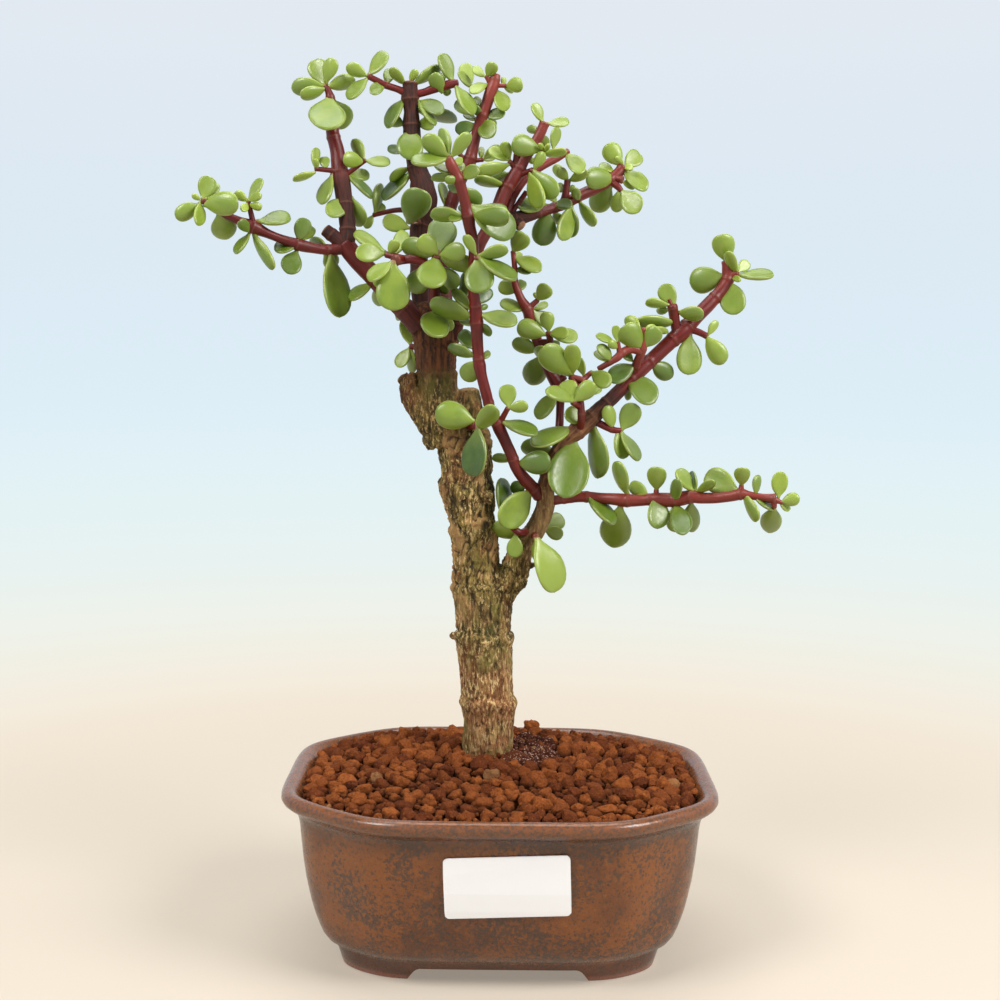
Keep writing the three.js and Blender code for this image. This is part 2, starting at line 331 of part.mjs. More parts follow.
    leaves: [
      [31.4, 180.8, 21.9, 181.6, 6.5, -5], [25.2, 177.2, 10.3, 171, 6, -6],
      [25.3, 173.3, 22.3, 152.4, 14.5, -6], [32, 178.5, 33.4, 159.3, 6.8, 1],
      [38.6, 176.8, 37, 184.8, 4.9, 3], [41.8, 176.3, 46.5, 185.4, 7.5, 1],
      [40.4, 176.2, 42.7, 166.3, 5.5, -2], [41.6, 175.8, 47.9, 165.6, 3.8, 2],
      [18.8, 168.6, 6.9, 170.1, 6.2, 4], [43.3, 195.5, 53.1, 185.8, 8.6, -6],
      [43.2, 191, 43.7, 186.5, 2.4, 3], [51.5, 199.5, 59.2, 194.8, 6.5, 3],
      [76.4, 234.3, 74.9, 243.5, 8, 0], [80.4, 230.6, 76.2, 237.5, 3.8, -3],
      [80.6, 230.8, 83.8, 234.4, 4.2, 2], [80.7, 229.9, 92.8, 229.5, 3.4, -1],
      [78.3, 229, 81.6, 228.1, 2.2, -2], [76.6, 228.3, 80.5, 216.4, 9.2, -4],
      [75.8, 229.6, 64.1, 227, 9.2, 2], [59.4, 218.9, 54.6, 226.2, 6.2, 1],
      [57.4, 219.5, 49.1, 219.6, 3.2, 0], [57.3, 217.6, 52.9, 217.5, 3.2, 3],
      [60.2, 217.1, 69.2, 215.9, 5.2, -3], [59.6, 213.9, 45.5, 212.2, 4.5, -4],
      [64.6, 209.4, 64, 195.6, 8.8, -1], [70.3, 208.9, 76.3, 199.4, 6.9, -1],
      [70.8, 209.3, 74.2, 214.1, 2.6, 1]]},
  {name: 'right_inner_stem', root: 'right_branch',
    limbs: [
      [[45.3, 195.5, 18, 1.6], [47, 200.5, 15, 1.5], [48.6, 204.8, 13, 1.4], [48.6, 211.5, 13, 0.8]],
      [[48.2, 203.2, 13.5, 1.5], [45, 204.3, 13, 1.6], [41.8, 203.2, 12, 1.5],
        [39.8, 201.3, 11, 1.4], [37.3, 199.6, 11, 1.1], [33.5, 197.3, 12, 1.0]],
      [[40.6, 202.6, 11.5, 0.9], [39.9, 206.5, 11, 0.8]]],
    leaves: [
      [48.2, 204.4, 41.9, 212.1, 8.5, -4], [49.2, 204.9, 53.7, 211.4, 6.2, -1],
      [47.8, 210.8, 42.2, 214.9, 4.4, 3], [48.9, 211, 53.1, 211.9, 2, 2],
      [49, 210.7, 57.3, 210.3, 2.2, 3], [39.9, 206.4, 39.4, 212.1, 3.2, 3],
      [39.3, 206.3, 32.2, 208.6, 2.6, -1], [39.8, 204.5, 37.1, 206.5, 3.2, -2],
      [46.1, 198.8, 36.8, 193.4, 6.7, -4], [45.3, 200, 41.6, 202.9, 3, -3],
      [37.9, 199.9, 33.3, 205.7, 3.9, -2], [37, 200, 31.7, 202.9, 2.4, 3]]},
  {name: 'low_branch', root: 'trunk',
    limbs: [
      [[16.5, 151.3, 14, 1.9], [20, 151.8, 13, 1.7], [24, 152.4, 12, 1.8], [28, 153, 11, 2.0],
        [35, 152.6, 10, 1.9], [40.5, 152.2, 8.5, 2.2], [43.5, 151.9, 8, 2.4], [49, 151.9, 7, 2.0],
        [54, 152.5, 6, 2.2], [60, 152.2, 5, 2.6], [66.5, 153.4, 3, 2.4], [70, 153, 2.5, 2.0],
        [75, 153.1, 1.5, 1.95], [80, 153.7, 0, 1.9], [83.6, 154.5, -1, 2.1],
        [86.5, 154.1, -1.5, 1.5], [91, 153.4, -2, 1.4], [95.4, 153, -3, 1.8]],
      [[54.2, 153, 6, 1.1], [54.3, 155.9, 6, 0.8]],
      [[83.6, 155, -1, 1.2], [83.8, 157.8, -1, 0.8]],
      [[95, 152.8, -3, 1.2], [98.1, 151.6, -3, 0.7]],
      [[95.2, 152.5, -3, 1.2], [95.5, 149.8, -3, 0.8]]],
    leaves: [
      [44.4, 154, 39.4, 165.2, 4.8, -2], [51.5, 153.6, 45.1, 157.4, 5.2, 5],
      [54.3, 155.6, 54.4, 163.6, 6.9, 0], [54.4, 153.8, 55, 142, 7.7, -5],
      [61, 150.7, 60.6, 159.3, 4.2, -5], [61, 150.9, 64.5, 140, 7.4, -4],
      [60.8, 151, 61, 140.9, 4.6, 3], [66.5, 151.7, 67, 141, 6.6, 3],
      [67.2, 155.2, 61, 162.7, 4.6, -2], [67.8, 155.5, 66.7, 162.4, 2.5, 4],
      [67.9, 155.2, 74.8, 158.1, 3.5, -3], [82.5, 155.8, 71.2, 161.1, 9, 4],
      [83.8, 157.6, 84.1, 163.4, 5.8, 0], [85, 155, 88.9, 144.7, 3.3, -4],
      [88.7, 154.2, 89.8, 161.3, 2.8, 1], [88.4, 153.9, 95.7, 148.8, 2.9, -3],
      [95.4, 150.2, 93.8, 140.8, 7.8, 1], [96.8, 153.4, 97.2, 162.5, 6, 1],
      [97.7, 152, 104.2, 153.3, 4.9, -1], [97.5, 151.6, 100.5, 148.8, 2.3, 2],
      [42, 150, 39.4, 135, 11.1, 3], [30.2, 154.2, 39.8, 143.2, 4.8, -4]]},
  {name: 'shoot_front', root: 'trunk',
    limbs: [
      [[-14, 177.3, 15, 1.6], [-9.6, 177.3, 4.5, 1.4], [-8.6, 177.2, 0.5, 1.3]]],
    leaves: [
      [-9, 178.6, -22.6, 182.2, 9.9, -1], [-9.2, 176.2, -1.2, 182.9, 6.8, -7],
      [-8, 176.6, -8.8, 159.6, 8.8, -1]]},
  {name: 'shoot_left', root: 'trunk',
    limbs: [
      [[-26, 204, 20, 1.3], [-31.4, 204.3, 21, 1.0]]],
    leaves: [
      [-31.3, 204.8, -32.9, 214, 6, 2], [-31.6, 204, -35.7, 197.1, 4.7, -1],
      [-31, 203.8, -31, 195, 3.4, 4]]},
  {name: 'shoot_top', root: 'trunk',
    limbs: [
      [[-19, 212.5, 15, 1.5], [-19.4, 215.8, 5.5, 1.2]]],
    leaves: [
      [-19.8, 216.8, -25.4, 208, 10.7, -1], [-18.7, 215.2, -18.2, 209.6, 4.2, 0]]},
  {name: 'shoot_fork_left', root: 'trunk',
    limbs: [
      [[10.5, 140.4, 14, 1.4], [6.5, 140.4, 8.5, 1.2], [3.3, 143, 9.5, 0.9]]],
    leaves: [
      [8.4, 140, -2.8, 141.8, 6.6, -3], [5.5, 139.6, 5.2, 131.4, 5.8, 0],
      [2.9, 143.3, 0, 159.2, 5.3, 2]]},
  {name: 'shoot_fork_front', root: 'trunk',
    limbs: [
      [[12, 139.5, 13, 1.4], [12.7, 138.6, 7, 1.2]]],
    leaves: [
      [12.9, 138.4, 19.4, 119.2, 10.4, -1], [12.6, 137.6, 13, 130.4, 3.8, 3]]},
  {name: 'shoot_fork_back', root: 'trunk',
    limbs: [
      [[13, 140.8, 16, 1.4], [15.4, 141.5, 21.5, 1.1]]],
    leaves: [
      [15.7, 141.8, 22, 145.7, 6.5, 1], [15.6, 141.2, 22.1, 139.4, 4.9, 0]]},
];

// ---- small helpers ------------------------------------------------------------------------
let seed = 4711;
function rnd() {
  seed = (seed * 16807) % 2147483647;
  return seed / 2147483647;
}

function place(x, z, y) {
  const k = (y - FAN_Y) / (PLANE_Y - FAN_Y);
  return new THREE.Vector3(x * k, y, FAN_Z + (z - FAN_Z) * k);
}

function depthScale(y) {
  return (y - FAN_Y) / (PLANE_Y - FAN_Y);
}

// a closed manifold body from points and triangles, turned outward
function body(points, tris) {
  const verts = new Float32Array(points.length * 3);
  points.forEach((p, i) => verts.set([p.x, p.y, p.z], i * 3));
  let volume = 0;
  const cross = new THREE.Vector3();
  for (const [a, b, c] of tris) {
    cross.crossVectors(points[b], points[c]);
    volume += points[a].dot(cross);
  }
  const list = [];
  for (const [a, b, c] of tris) {
    if (volume < 0) {
      list.push(a, c, b);
    } else {
      list.push(a, b, c);
    }
  }
  const mesh = new wasm.Mesh({ numProp: 3, vertProperties: verts, triVerts: new Uint32Array(list) });
  return new wasm.Manifold(mesh);
}

// a closed loft through rings of equal count, capped by fans to the two end points
function loft(rings, start, end) {
  const n = rings[0].length;
  const points = rings.flat();
  const tris = [];
  for (let i = 0; i + 1 < rings.length; i += 1) {
    for (let j = 0; j < n; j += 1) {
      const a = i * n + j;
      const b = i * n + ((j + 1) % n);
      tris.push([a, b, b + n]);
      tris.push([a, b + n, a + n]);
    }
  }
  const first = points.length;
  points.push(start, end);
  const last = (rings.length - 1) * n;
  for (let j = 0; j < n; j += 1) {
    tris.push([first, (j + 1) % n, j]);
    tris.push([first + 1, last + j, last + ((j + 1) % n)]);
  }
  return body(points, tris);
}

function fromGeometry(geometry) {
  const position = geometry.getAttribute('position');
  const keys = new Map();
  const points = [];
  const link = [];
  for (let i = 0; i < position.count; i += 1) {
    const p = new THREE.Vector3().fromBufferAttribute(position, i);
    const key = `${Math.round(p.x * 1e4)},${Math.round(p.y * 1e4)},${Math.round(p.z * 1e4)}`;
    if (!keys.has(key)) {
      keys.set(key, points.length);
      points.push(p);
    }
    link.push(keys.get(key));
  }
  const index = geometry.getIndex();
  const count = index ? index.count : position.count;
  const tris = [];
  for (let i = 0; i < count; i += 3) {
    const t = [0, 1, 2].map((k) => link[index ? index.getX(i + k) : i + k]);
    if (t[0] !== t[1] && t[1] !== t[2] && t[2] !== t[0]) {
      tris.push(t);
    }
  }
  return body(points, tris);
}

function rectShape(x0, y0, x1, y1, corner) {
  const shape = new THREE.Shape();
  shape.moveTo(x0 + corner, y0);
  shape.lineTo(x1 - corner, y0);
  shape.absarc(x1 - corner, y0 + corner, corner, -Math.PI / 2, 0, false);
  shape.lineTo(x1, y1 - corner);
  shape.absarc(x1 - corner, y1 - corner, corner, 0, Math.PI / 2, false);
  shape.lineTo(x0 + corner, y1);
  shape.absarc(x0 + corner, y1 - corner, corner, Math.PI / 2, Math.PI, false);
  shape.lineTo(x0, y0 + corner);
  shape.absarc(x0 + corner, y0 + corner, corner, Math.PI, Math.PI * 1.5, false);
  return shape;
}

function extrude(shape, depth, curve) {
  return new THREE.ExtrudeGeometry(shape, { depth, bevelEnabled: false, curveSegments: curve });
}

// ---- pot ----------------------------------------------------------------------------------
// the plan's radius at an angle, for half-sizes a and b: a rectangle with its corners cut soft
function planRadius(angle, a, b, cut) {
  const cx = Math.abs(Math.cos(angle)) / a;
  const cy = Math.abs(Math.sin(angle)) / b;
  const p = CORNER_SOFTNESS;
  const sum = cx ** p + cy ** p + ((cx + cy) / cut) ** p;
  return sum ** (-1 / p);
}

// the corners are cut less near the feet
function cutAt(z) {
  const share = Math.min(Math.max(z / FOOT_CUT_HEIGHT, 0), 1);
  return FOOT_CUT + (CORNER_CUT - FOOT_CUT) * share;
}

function planRing(a, b, z) {
  const ring = [];
  for (let i = 0; i < POT_SIDES; i += 1) {
    const angle = ((i + 0.5) / POT_SIDES) * Math.PI * 2;
    const r = planRadius(angle, a, b, cutAt(z));
    ring.push(new THREE.Vector3(POT_X + r * Math.cos(angle), r * Math.sin(angle), z));
  }
  return ring;
}

// outside of the pot: height and the two half-sizes of the plan
const OUTSIDE = [[0, FOOT_HALF_X, FOOT_HALF_Y], [4, 53.6, 37.6], [8, 54.9, 39.9],
  [9.2, 57.0, 42.2], [12, 59.2, 45.0], [18, 61.6, 48.2], [24, 63.4, 50.3], [30, 64.6, 51.6],
  [36, 65.4, 52.5], [42, 66.0, 53.1], [48, 66.5, 53.5], [53.6, 67.2, 54.2], [55.2, 71.2, 57.6],
  [57.4, POT_HALF_X, POT_HALF_Y], [59.3, 71.9, 58.2], [POT_HEIGHT, 70.5, 57.1]];
// inside of the pot: height and the two half-sizes of the plan
const INSIDE = [[59.6, 68.2, 54.6], [53, 63.4, 50.2], [42, 62.0, 48.9], [30, 60.0, 46.9],
  [20, 55.5, 42.6], [FLOOR_TOP, 46.5, 33.5]];

function drainHole(side) {
  const hole = new THREE.Shape();
  hole.absarc(POT_X + side * DRAIN_X, 0, DRAIN_RADIUS, 0, Math.PI * 2, false);
  const geometry = extrude(hole, FLOOR_TOP + 4, 8);
  geometry.translate(0, 0, -2);
  return fromGeometry(geometry);
}

// a slot between two feet, with slanted ends, cut along y or x
function footSlot(top, length, alongX) {
  const low = top + FOOT_GAP_FLARE;
  const side = [[low + 0.7, -1], [low - 0.4, 1], [top + 1, FOOT_HEIGHT - 1], [top - 0.6, FOOT_HEIGHT]];
  const shape = new THREE.Shape();
  side.forEach(([x, y], i) => (i ? shape.lineTo(x, y) : shape.moveTo(x, y)));
  side.reverse().forEach(([x, y]) => shape.lineTo(-x, y));
  const geometry = extrude(shape, length * 2, 1);
  geometry.translate(0, 0, -length);
  geometry.rotateX(Math.PI / 2);
  if (alongX) {
    geometry.rotateZ(Math.PI / 2);
  }
  geometry.translate(POT_X, 0, 0);
  return fromGeometry(geometry);
}

function buildPot() {
  const rings = OUTSIDE.map(([z, a, b]) => planRing(a, b, z));
  INSIDE.forEach(([z, a, b]) => rings.push(planRing(a, b, z)));
  const middle = (z) => new THREE.Vector3(POT_X, 0, z);
  let pot = loft(rings, middle(0), middle(FLOOR_TOP));
  pot = pot.subtract(footSlot(FOOT_GAP_TOP_X, 80, false));
  pot = pot.subtract(footSlot(FOOT_GAP_TOP_Y, 90, true));
  const a = FOOT_HALF_X - FOOT_RIM_WIDTH;
  const b = FOOT_HALF_Y - FOOT_RIM_WIDTH;
  const hollow = loft([planRing(a, b, -3), planRing(a, b, FOOT_HEIGHT)], middle(-3), middle(FOOT_HEIGHT));
  pot = pot.subtract(hollow);
  pot = pot.subtract(drainHole(-1));
  pot = pot.subtract(drainHole(1));
  return pot;
}

// a square block round a drain hole, from z0 to z1
function block(x, y, half, z0, z1) {
  const ring = (z) => [[-half, -half], [half, -half], [half, half], [-half, half]]
    .map(([dx, dy]) => new THREE.Vector3(x + dx, y + dy, z));
  return loft([ring(z0), ring(z1)], new THREE.Vector3(x, y, z0), new THREE.Vector3(x, y, z1));
}

function buildMesh(side) {
  const z0 = FLOOR_TOP + FIT_GAP;
  let plate = block(POT_X + side * DRAIN_X, 0, MESH_HALF, z0, z0 + MESH_THICK);
  for (let i = -1; i < 2; i += 1) {
    for (let j = -1; j < 2; j += 1) {
      const x = POT_X + side * DRAIN_X + i * MESH_PITCH;
      const y = j * MESH_PITCH;
      plate = plate.subtract(block(x, y, MESH_HOLE / 2, z0 - 1, z0 + MESH_THICK + 1));
    }
  }
  return plate;
}

// ---- soil ---------------------------------------------------------------------------------
function buildSoil() {
  const g = FIT_GAP;
  const rings = [];
  INSIDE.slice(1).reverse().forEach(([z, a, b]) => {
    rings.push(planRing(a - g * 2, b - g * 2, z === FLOOR_TOP ? z + g : z));
  });
  const edge = planRing(65.4 - g, 52.0 - g, SOIL_EDGE_Z - 1);
  rings.push(edge);
  const shares = [0.9, 0.78, 0.64, 0.5, 0.36];
  shares.forEach((share) => {
    rings.push(edge.map((p) => {
      const x = SOIL_HOLE_X + (p.x - SOIL_HOLE_X) * share;
      const y = SOIL_HOLE_Y + (p.y - SOIL_HOLE_Y) * share;
      const rise = SOIL_RISE * (1 - share) * 1.2;
      return new THREE.Vector3(x, y, SOIL_EDGE_Z + rise + (rnd() - 0.5) * 2 * SOIL_GRAIN);
    }));
  });
  const crown = new THREE.Vector3(SOIL_HOLE_X, SOIL_HOLE_Y, SOIL_EDGE_Z + SOIL_RISE);
  let soil = loft(rings, new THREE.Vector3(POT_X, 0, FLOOR_TOP + g), crown);
  const hole = new THREE.Shape();
  hole.absarc(SOIL_HOLE_X, SOIL_HOLE_Y, SOIL_HOLE_RADIUS, 0, Math.PI * 2, false);
  const bore = extrude(hole, 30, 10);
  bore.translate(0, 0, SOIL_HOLE_FLOOR);
  soil = soil.subtract(fromGeometry(bore));
  for (const side of [-1, 1]) {
    const top = FLOOR_TOP + g * 2 + MESH_THICK;
    soil = soil.subtract(block(POT_X + side * DRAIN_X, 0, MESH_HALF + g, FLOOR_TOP - 2, top));
  }
  return soil;
}

// ---- label --------------------------------------------------------------------------------
function wallY(z) {
  for (let i = 1; i < OUTSIDE.length; i += 1) {
    if (z <= OUTSIDE[i][0]) {
      const [z0, , b0] = OUTSIDE[i - 1];
      const [z1, , b1] = OUTSIDE[i];
      return -(b0 + ((b1 - b0) * (z - z0)) / (z1 - z0));
    }
  }
  return -POT_HALF_Y;
}

function buildLabel() {
  const rows = [26, 30, 36, 42, 48, 51];
  const rings = rows.map((z) => {
    const back = wallY(z) - FIT_GAP;
    const front = back - LABEL_THICK;
    return [[-30, back], [-30, front], [34, front], [34, back]]
      .map(([x, y]) => new THREE.Vector3(x, y, z));
  });
  const mid = (i) => rings[i].reduce((s, p) => s.add(p), new THREE.Vector3()).divideScalar(4);
  const slab = loft(rings, mid(0), mid(rings.length - 1));
  const shape = rectShape(LABEL_LEFT, LABEL_BOTTOM, LABEL_RIGHT, LABEL_TOP, LABEL_CORNER);
  const geometry = extrude(shape, 30, 4);
  geometry.rotateX(Math.PI / 2);
  geometry.translate(0, -40, 0);
  const cx = (LABEL_LEFT + LABEL_RIGHT) / 2;
  const cz = (LABEL_BOTTOM + LABEL_TOP) / 2;
  geometry.translate(-cx, 0, -cz);
  geometry.rotateY(-LABEL_TURN);
  geometry.translate(cx, 0, cz);
  return slab.intersect(fromGeometry(geometry));
}

// ---- stems --------------------------------------------------------------------------------
// leaves out the points of a stem that lie on its run anyway
function plainRun(list) {
  const kept = [list[0]];
  for (let i = 1; i + 1 < list.length; i += 1) {
    const a = kept[kept.length - 1];
    const c = list[i + 1];
    const b = list[i];
    const whole = Math.hypot(c[0] - a[0], c[1] - a[1], c[2] - a[2]);
    const t = Math.hypot(b[0] - a[0], b[1] - a[1], b[2] - a[2]) / whole;
    const off = [0, 1, 2].map((k) => b[k] - (a[k] + (c[k] - a[k]) * t));
    const swell = Math.abs(b[3] - (a[3] + (c[3] - a[3]) * t));
    if (Math.hypot(...off) > RUN_SLACK || swell > RUN_SLACK * 0.6) {
      kept.push(b);
    }
  }
  kept.push(list[list.length - 1]);
  return kept;
}

function stem(points, sides, grow, relief) {
  const list = plainRun(points);
  const centres = list.map(([x, z, y]) => place(x, z, y));
  const radii = list.map((p) => p[3] * depthScale(p[2]) + grow);
  const rings = [];
  let side = null;
  let lastCentre = null;
  let lastAxis = null;
  for (let i = 0; i < centres.length; i += 1) {
    const before = centres[Math.max(i - 1, 0)];
    const after = centres[Math.min(i + 1, centres.length - 1)];
    const axis = new THREE.Vector3().subVectors(after, before).normalize();
    if (side === null) {
      side = new THREE.Vector3(0, 1, 0);
      if (Math.abs(axis.y) > 0.8) {
        side.set(1, 0, 0);
      }
    }
    side = side.clone().addScaledVector(axis, -side.dot(axis)).normalize();
    const other = new THREE.Vector3().crossVectors(axis, side);
    const ring = [];
    for (let j = 0; j < sides; j += 1) {
      const angle = (j / sides) * Math.PI * 2;
      const r = radii[i] + (relief ? relief * Math.sin(angle * 3 + i * 1.7) : 0);
      ring.push(centres[i].clone()
        .addScaledVector(side, r * Math.cos(angle))
        .addScaledVector(other, r * Math.sin(angle)));
    }
    let clear = true;
    if (lastAxis !== null) {
      const gap = new THREE.Vector3();
      ring.forEach((p, j) => {
        const previous = rings[rings.length - 1][j];
        if (gap.subVectors(p, previous).dot(lastAxis) < 0.12) {
          clear = false;
        }
        if (gap.subVectors(p, previous).dot(axis) < 0.12) {
          clear = false;
        }
      });
    }
    if (clear) {
      rings.push(ring);
      lastAxis = axis;
      lastCentre = centres[i];
    }
  }
  const tip = lastCentre.clone().addScaledVector(lastAxis, radii[radii.length - 1] * 0.35);
  return loft(rings, centres[0], tip);
}

function trunkColumn(grow) {
  const phases = [0.4, 2.1, 4.0];
  const rings = TRUNK.map(([x, z, y, r], i) => {
    const centre = place(x, z, y);
    const ring = [];
    for (let j = 0; j < TRUNK_SIDES; j += 1) {
      const angle = (j / TRUNK_SIDES) * Math.PI * 2;
      const ridge = Math.sin(angle * 5 + phases[i % 3]) * BARK_RELIEF;
      const out = r * depthScale(y) + grow + (z < 66 ? ridge * 0.5 : ridge);
      ring.push(new THREE.Vector3(
        centre.x + out * Math.cos(angle),
        centre.y + out * Math.sin(angle) * 0.97,
        centre.z));
    }
    return ring;
  });
  const first = TRUNK[0];
  const last = TRUNK[TRUNK.length - 1];
  const top = place(last[0], last[1] + 0.8, last[2]);
  return loft(rings, place(first[0], first[1], first[2]), top);
}

function buildTrunk(grow) {
  const parts = [trunkColumn(grow)];
  TRUNK_LIMBS.forEach((limb) => parts.push(stem(limb, limb[0][3] > 3 ? 9 : 6, grow, 0)));
  return wasm.Manifold.union(parts);
}

// ---- leaves -------------------------------------------------------------------------------
// nearest point of a branch's stems to (x, z), as [x, z, depth, radius, distance]
function nearest(limbs, x, z) {
  let best = null;
  limbs.forEach((limb) => {
    for (let i = 0; i + 1 < limb.length; i += 1) {
      const p = limb[i];
      const q = limb[i + 1];
      const dx = q[0] - p[0];
      const dz = q[1] - p[1];
      const len = dx * dx + dz * dz;
      let t = len > 0 ? ((x - p[0]) * dx + (z - p[1]) * dz) / len : 0;
      t = Math.min(Math.max(t, 0), 1);
      const at = [0, 1, 2, 3].map((k) => p[k] + (q[k] - p[k]) * t);
      const away = Math.hypot(x - at[0], z - at[1]);
      if (best === null || away < best[4]) {
        best = [...at, away];
      }
    }
  });
  return best;
}

function makeLeaf(row, branch, index) {
  const [bx, bz, tx, tz, w] = row;
  let dy = row[5];
  const root = nearest(branch.limbs, bx, bz);
  const flat = Math.hypot(tx - bx, tz - bz);
  let full = Math.hypot(flat, dy);
  if (w > 0.8 * full) {
    full = w / 0.74;
    dy = (dy > 0 ? 1 : -1) * Math.sqrt(Math.max(full * full - flat * flat, dy * dy));
  }
  const wide = Math.max(w, LEAF_SHAPE * full);
  const turn = rnd() < 0.5 ? -1 : 1;
  const slope = turn * Math.min(Math.sqrt(Math.max((wide * wide) / (w * w) - 1, 0)), 2.1);
  return {
    branch, index, bx, bz, tx, tz, w, dy, dy0: dy, slope, root, flat,
    ax: (tx - bx) / flat, az: (tz - bz) / flat, size: full,
  };
}

// a leaf's depth at share u of its length and v across it
function leafDepth(leaf, u, v) {
  return leaf.root[2] + leaf.dy * u + leaf.slope * v;
}

// half-width of a leaf at share u of its length, as a share of its width
function halfShare(u) {
  const list = [[0, 0.1], [0.3, 0.34], [0.62, 0.5], [0.9, 0.36], [1, 0]];
  for (let i = 1; i < list.length; i += 1) {
    if (u <= list[i][0]) {
      const [u0, h0] = list[i - 1];
      const [u1, h1] = list[i];
      return h0 + ((h1 - h0) * (u - u0)) / (u1 - u0);
    }
  }
  return 0;
}

// Leaves that lie over each other or over a stem are bent apart in depth, tip end first.
function spread(leaves) {
  const probes = leaves.map((leaf) => {
    const list = [];
    for (const u of [0.3, 0.5, 0.7, 0.85, 1]) {
      for (const s of [-0.9, 0, 0.9]) {
        if (u < 1 || s === 0) {
          const v = s * halfShare(u) * leaf.w;
          const x = leaf.bx + leaf.ax * leaf.flat * u - leaf.az * v;
          const z = leaf.bz + leaf.az * leaf.flat * u + leaf.ax * v;
          list.push([u, v, x, z]);
        }
      }
    }
    return list;
  });
  const pairs = [];
  leaves.forEach((one, i) => {
    leaves.forEach((two, j) => {
      if (i === j) {
        return;
      }
      const reach = one.flat + one.w + two.flat + two.w;
      if (Math.abs(one.bx - two.bx) + Math.abs(one.bz - two.bz) > reach) {
        return;
      }
      const near = Math.hypot(one.root[0] - two.root[0], one.root[1] - two.root[1]) < 4.5;
      probes[i].forEach(([u, v, x, z]) => {
        const px = x - two.bx;
        const pz = z - two.bz;
        const u2 = (px * two.ax + pz * two.az) / two.flat;
        const v2 = pz * two.ax - px * two.az;
        const skip = near && (u < 0.45 || u2 < 0.45);
        if (u2 > 0.08 && u2 < 1 && Math.abs(v2) < halfShare(u2) * two.w + 0.3 && !skip) {
          pairs.push([i, j, u, v, u2, v2]);
        }
      });
    });
  });
  const order = new Map();
  pairs.forEach(([i, j, u, v, u2, v2]) => {
    const key = i < j ? `${i},${j}` : `${j},${i}`;
    const gap = leafDepth(leaves[i], u, v) - leafDepth(leaves[j], u2, v2);
    order.set(key, (order.get(key) || 0) + (i < j ? gap : -gap));
  });
  const stems = [];
  leaves.forEach((leaf, i) => {
    BRANCHES.forEach((branch, b) => {
      branch.limbs.forEach((limb) => {
        probes[i].forEach(([u, v, x, z]) => {
          const at = nearest([limb], x, z);
          const own = b === leaf.branch.id && u < 0.55;
          if (at[4] < at[3] + 0.4 && !own) {
            stems.push([i, u, v, at[2], at[3]]);
          }
        });
      });
    });
  });
  const side = new Map();
  stems.forEach(([i, u, v, y]) => {
    const key = `${i},${Math.round(y / 3)}`;
    side.set(key, (side.get(key) || 0) + leafDepth(leaves[i], u, v) - y);
  });
  for (let round = 0; round < 40; round += 1) {
    const push = leaves.map(() => 0);
    const count = leaves.map(() => 0);
    pairs.forEach(([i, j, u, v, u2, v2]) => {
      const key = i < j ? `${i},${j}` : `${j},${i}`;
      const sign = (order.get(key) >= 0 ? 1 : -1) * (i < j ? 1 : -1);
      const gap = leafDepth(leaves[i], u, v) - leafDepth(leaves[j], u2, v2);
      const short = LEAF_GAP - sign * gap;
      if (short > 0) {
        push[i] += (sign * short * 0.5) / Math.max(u, 0.4);
        push[j] -= (sign * short * 0.5) / Math.max(u2, 0.4);
        count[i] += 1;
        count[j] += 1;
      }
    });
    stems.forEach(([i, u, v, y, r]) => {
      const sign = side.get(`${i},${Math.round(y / 3)}`) >= 0 ? 1 : -1;
      const short = r + STEM_GAP - sign * (leafDepth(leaves[i], u, v) - y);
      if (short > 0) {
        push[i] += (sign * short) / Math.max(u, 0.4);
        count[i] += 1;
      }
    });
    leaves.forEach((leaf, i) => {
      if (count[i] > 0) {
        const next = leaf.dy + (push[i] / count[i]) * 0.8;
        leaf.dy = Math.min(Math.max(next, leaf.dy0 - SHIFT_LIMIT), leaf.dy0 + SHIFT_LIMIT);
      }
    });
  }
}

function leafBody(leaf, grow, more, slope, scale) {
  const point = (u, v) => {
    const x = leaf.bx + leaf.ax * leaf.flat * u - leaf.az * v;
    const z = leaf.bz + leaf.az * leaf.flat * u + leaf.ax * v;
    return place(x, z, leaf.root[2] + (leaf.dy + more) * u + slope * v);
  };
  const root = place(leaf.root[0], leaf.root[1], leaf.root[2]);
  const w = leaf.w * scale + grow * 2;
  const end = scale + grow / leaf.flat;
  const small = leaf.size * leaf.w < SMALL_LEAF;
  const half1 = small ? [[0.46, 0.46], [0.87, 0.38]] : [[0.3, 0.34], [0.64, 0.5], [0.91, 0.32]];
  const left = half1.map(([u, h]) => point(u * scale, h * w));
  const right = half1.map(([u, h]) => point(u * scale, -h * w)).reverse();
  const rim = [root, ...left, point(end, 0), ...right];
  const centre = point(0.58 * scale, 0);
  const along = new THREE.Vector3().subVectors(point(end, 0), root);
  const across = new THREE.Vector3().subVectors(left[1], right[0]);
  if (small) {
    across.subVectors(left[0], right[1]);
  }
  const normal = new THREE.Vector3().crossVectors(along, across).normalize();
  const half = (small ? 0.85 : 1) * (LEAF_THICK / 2) + grow;
  const points = [...rim, centre.clone().addScaledVector(normal, half),
    centre.clone().addScaledVector(normal, -half)];
  const tris = [];
  const n = rim.length;
  for (let j = 0; j < n; j += 1) {
    tris.push([j, (j + 1) % n, n]);
    tris.push([(j + 1) % n, j, n + 1]);
  }
  return body(points, tris);
}

// ---- put together -------------------------------------------------------------------------
BRANCHES.forEach((branch, id) => {
  branch.id = id;
});
const leaves = [];
BRANCHES.forEach((branch) => {
  branch.leaves.forEach((row, index) => leaves.push(makeLeaf(row, branch, index)));
});
spread(leaves);

const trunk = buildTrunk(0);
const fatTrunk = buildTrunk(JOINT_GAP);

function boxesMeet(a, b) {
  return [0, 1, 2].every((k) => a.min[k] <= b.max[k] && b.min[k] <= a.max[k]);
}

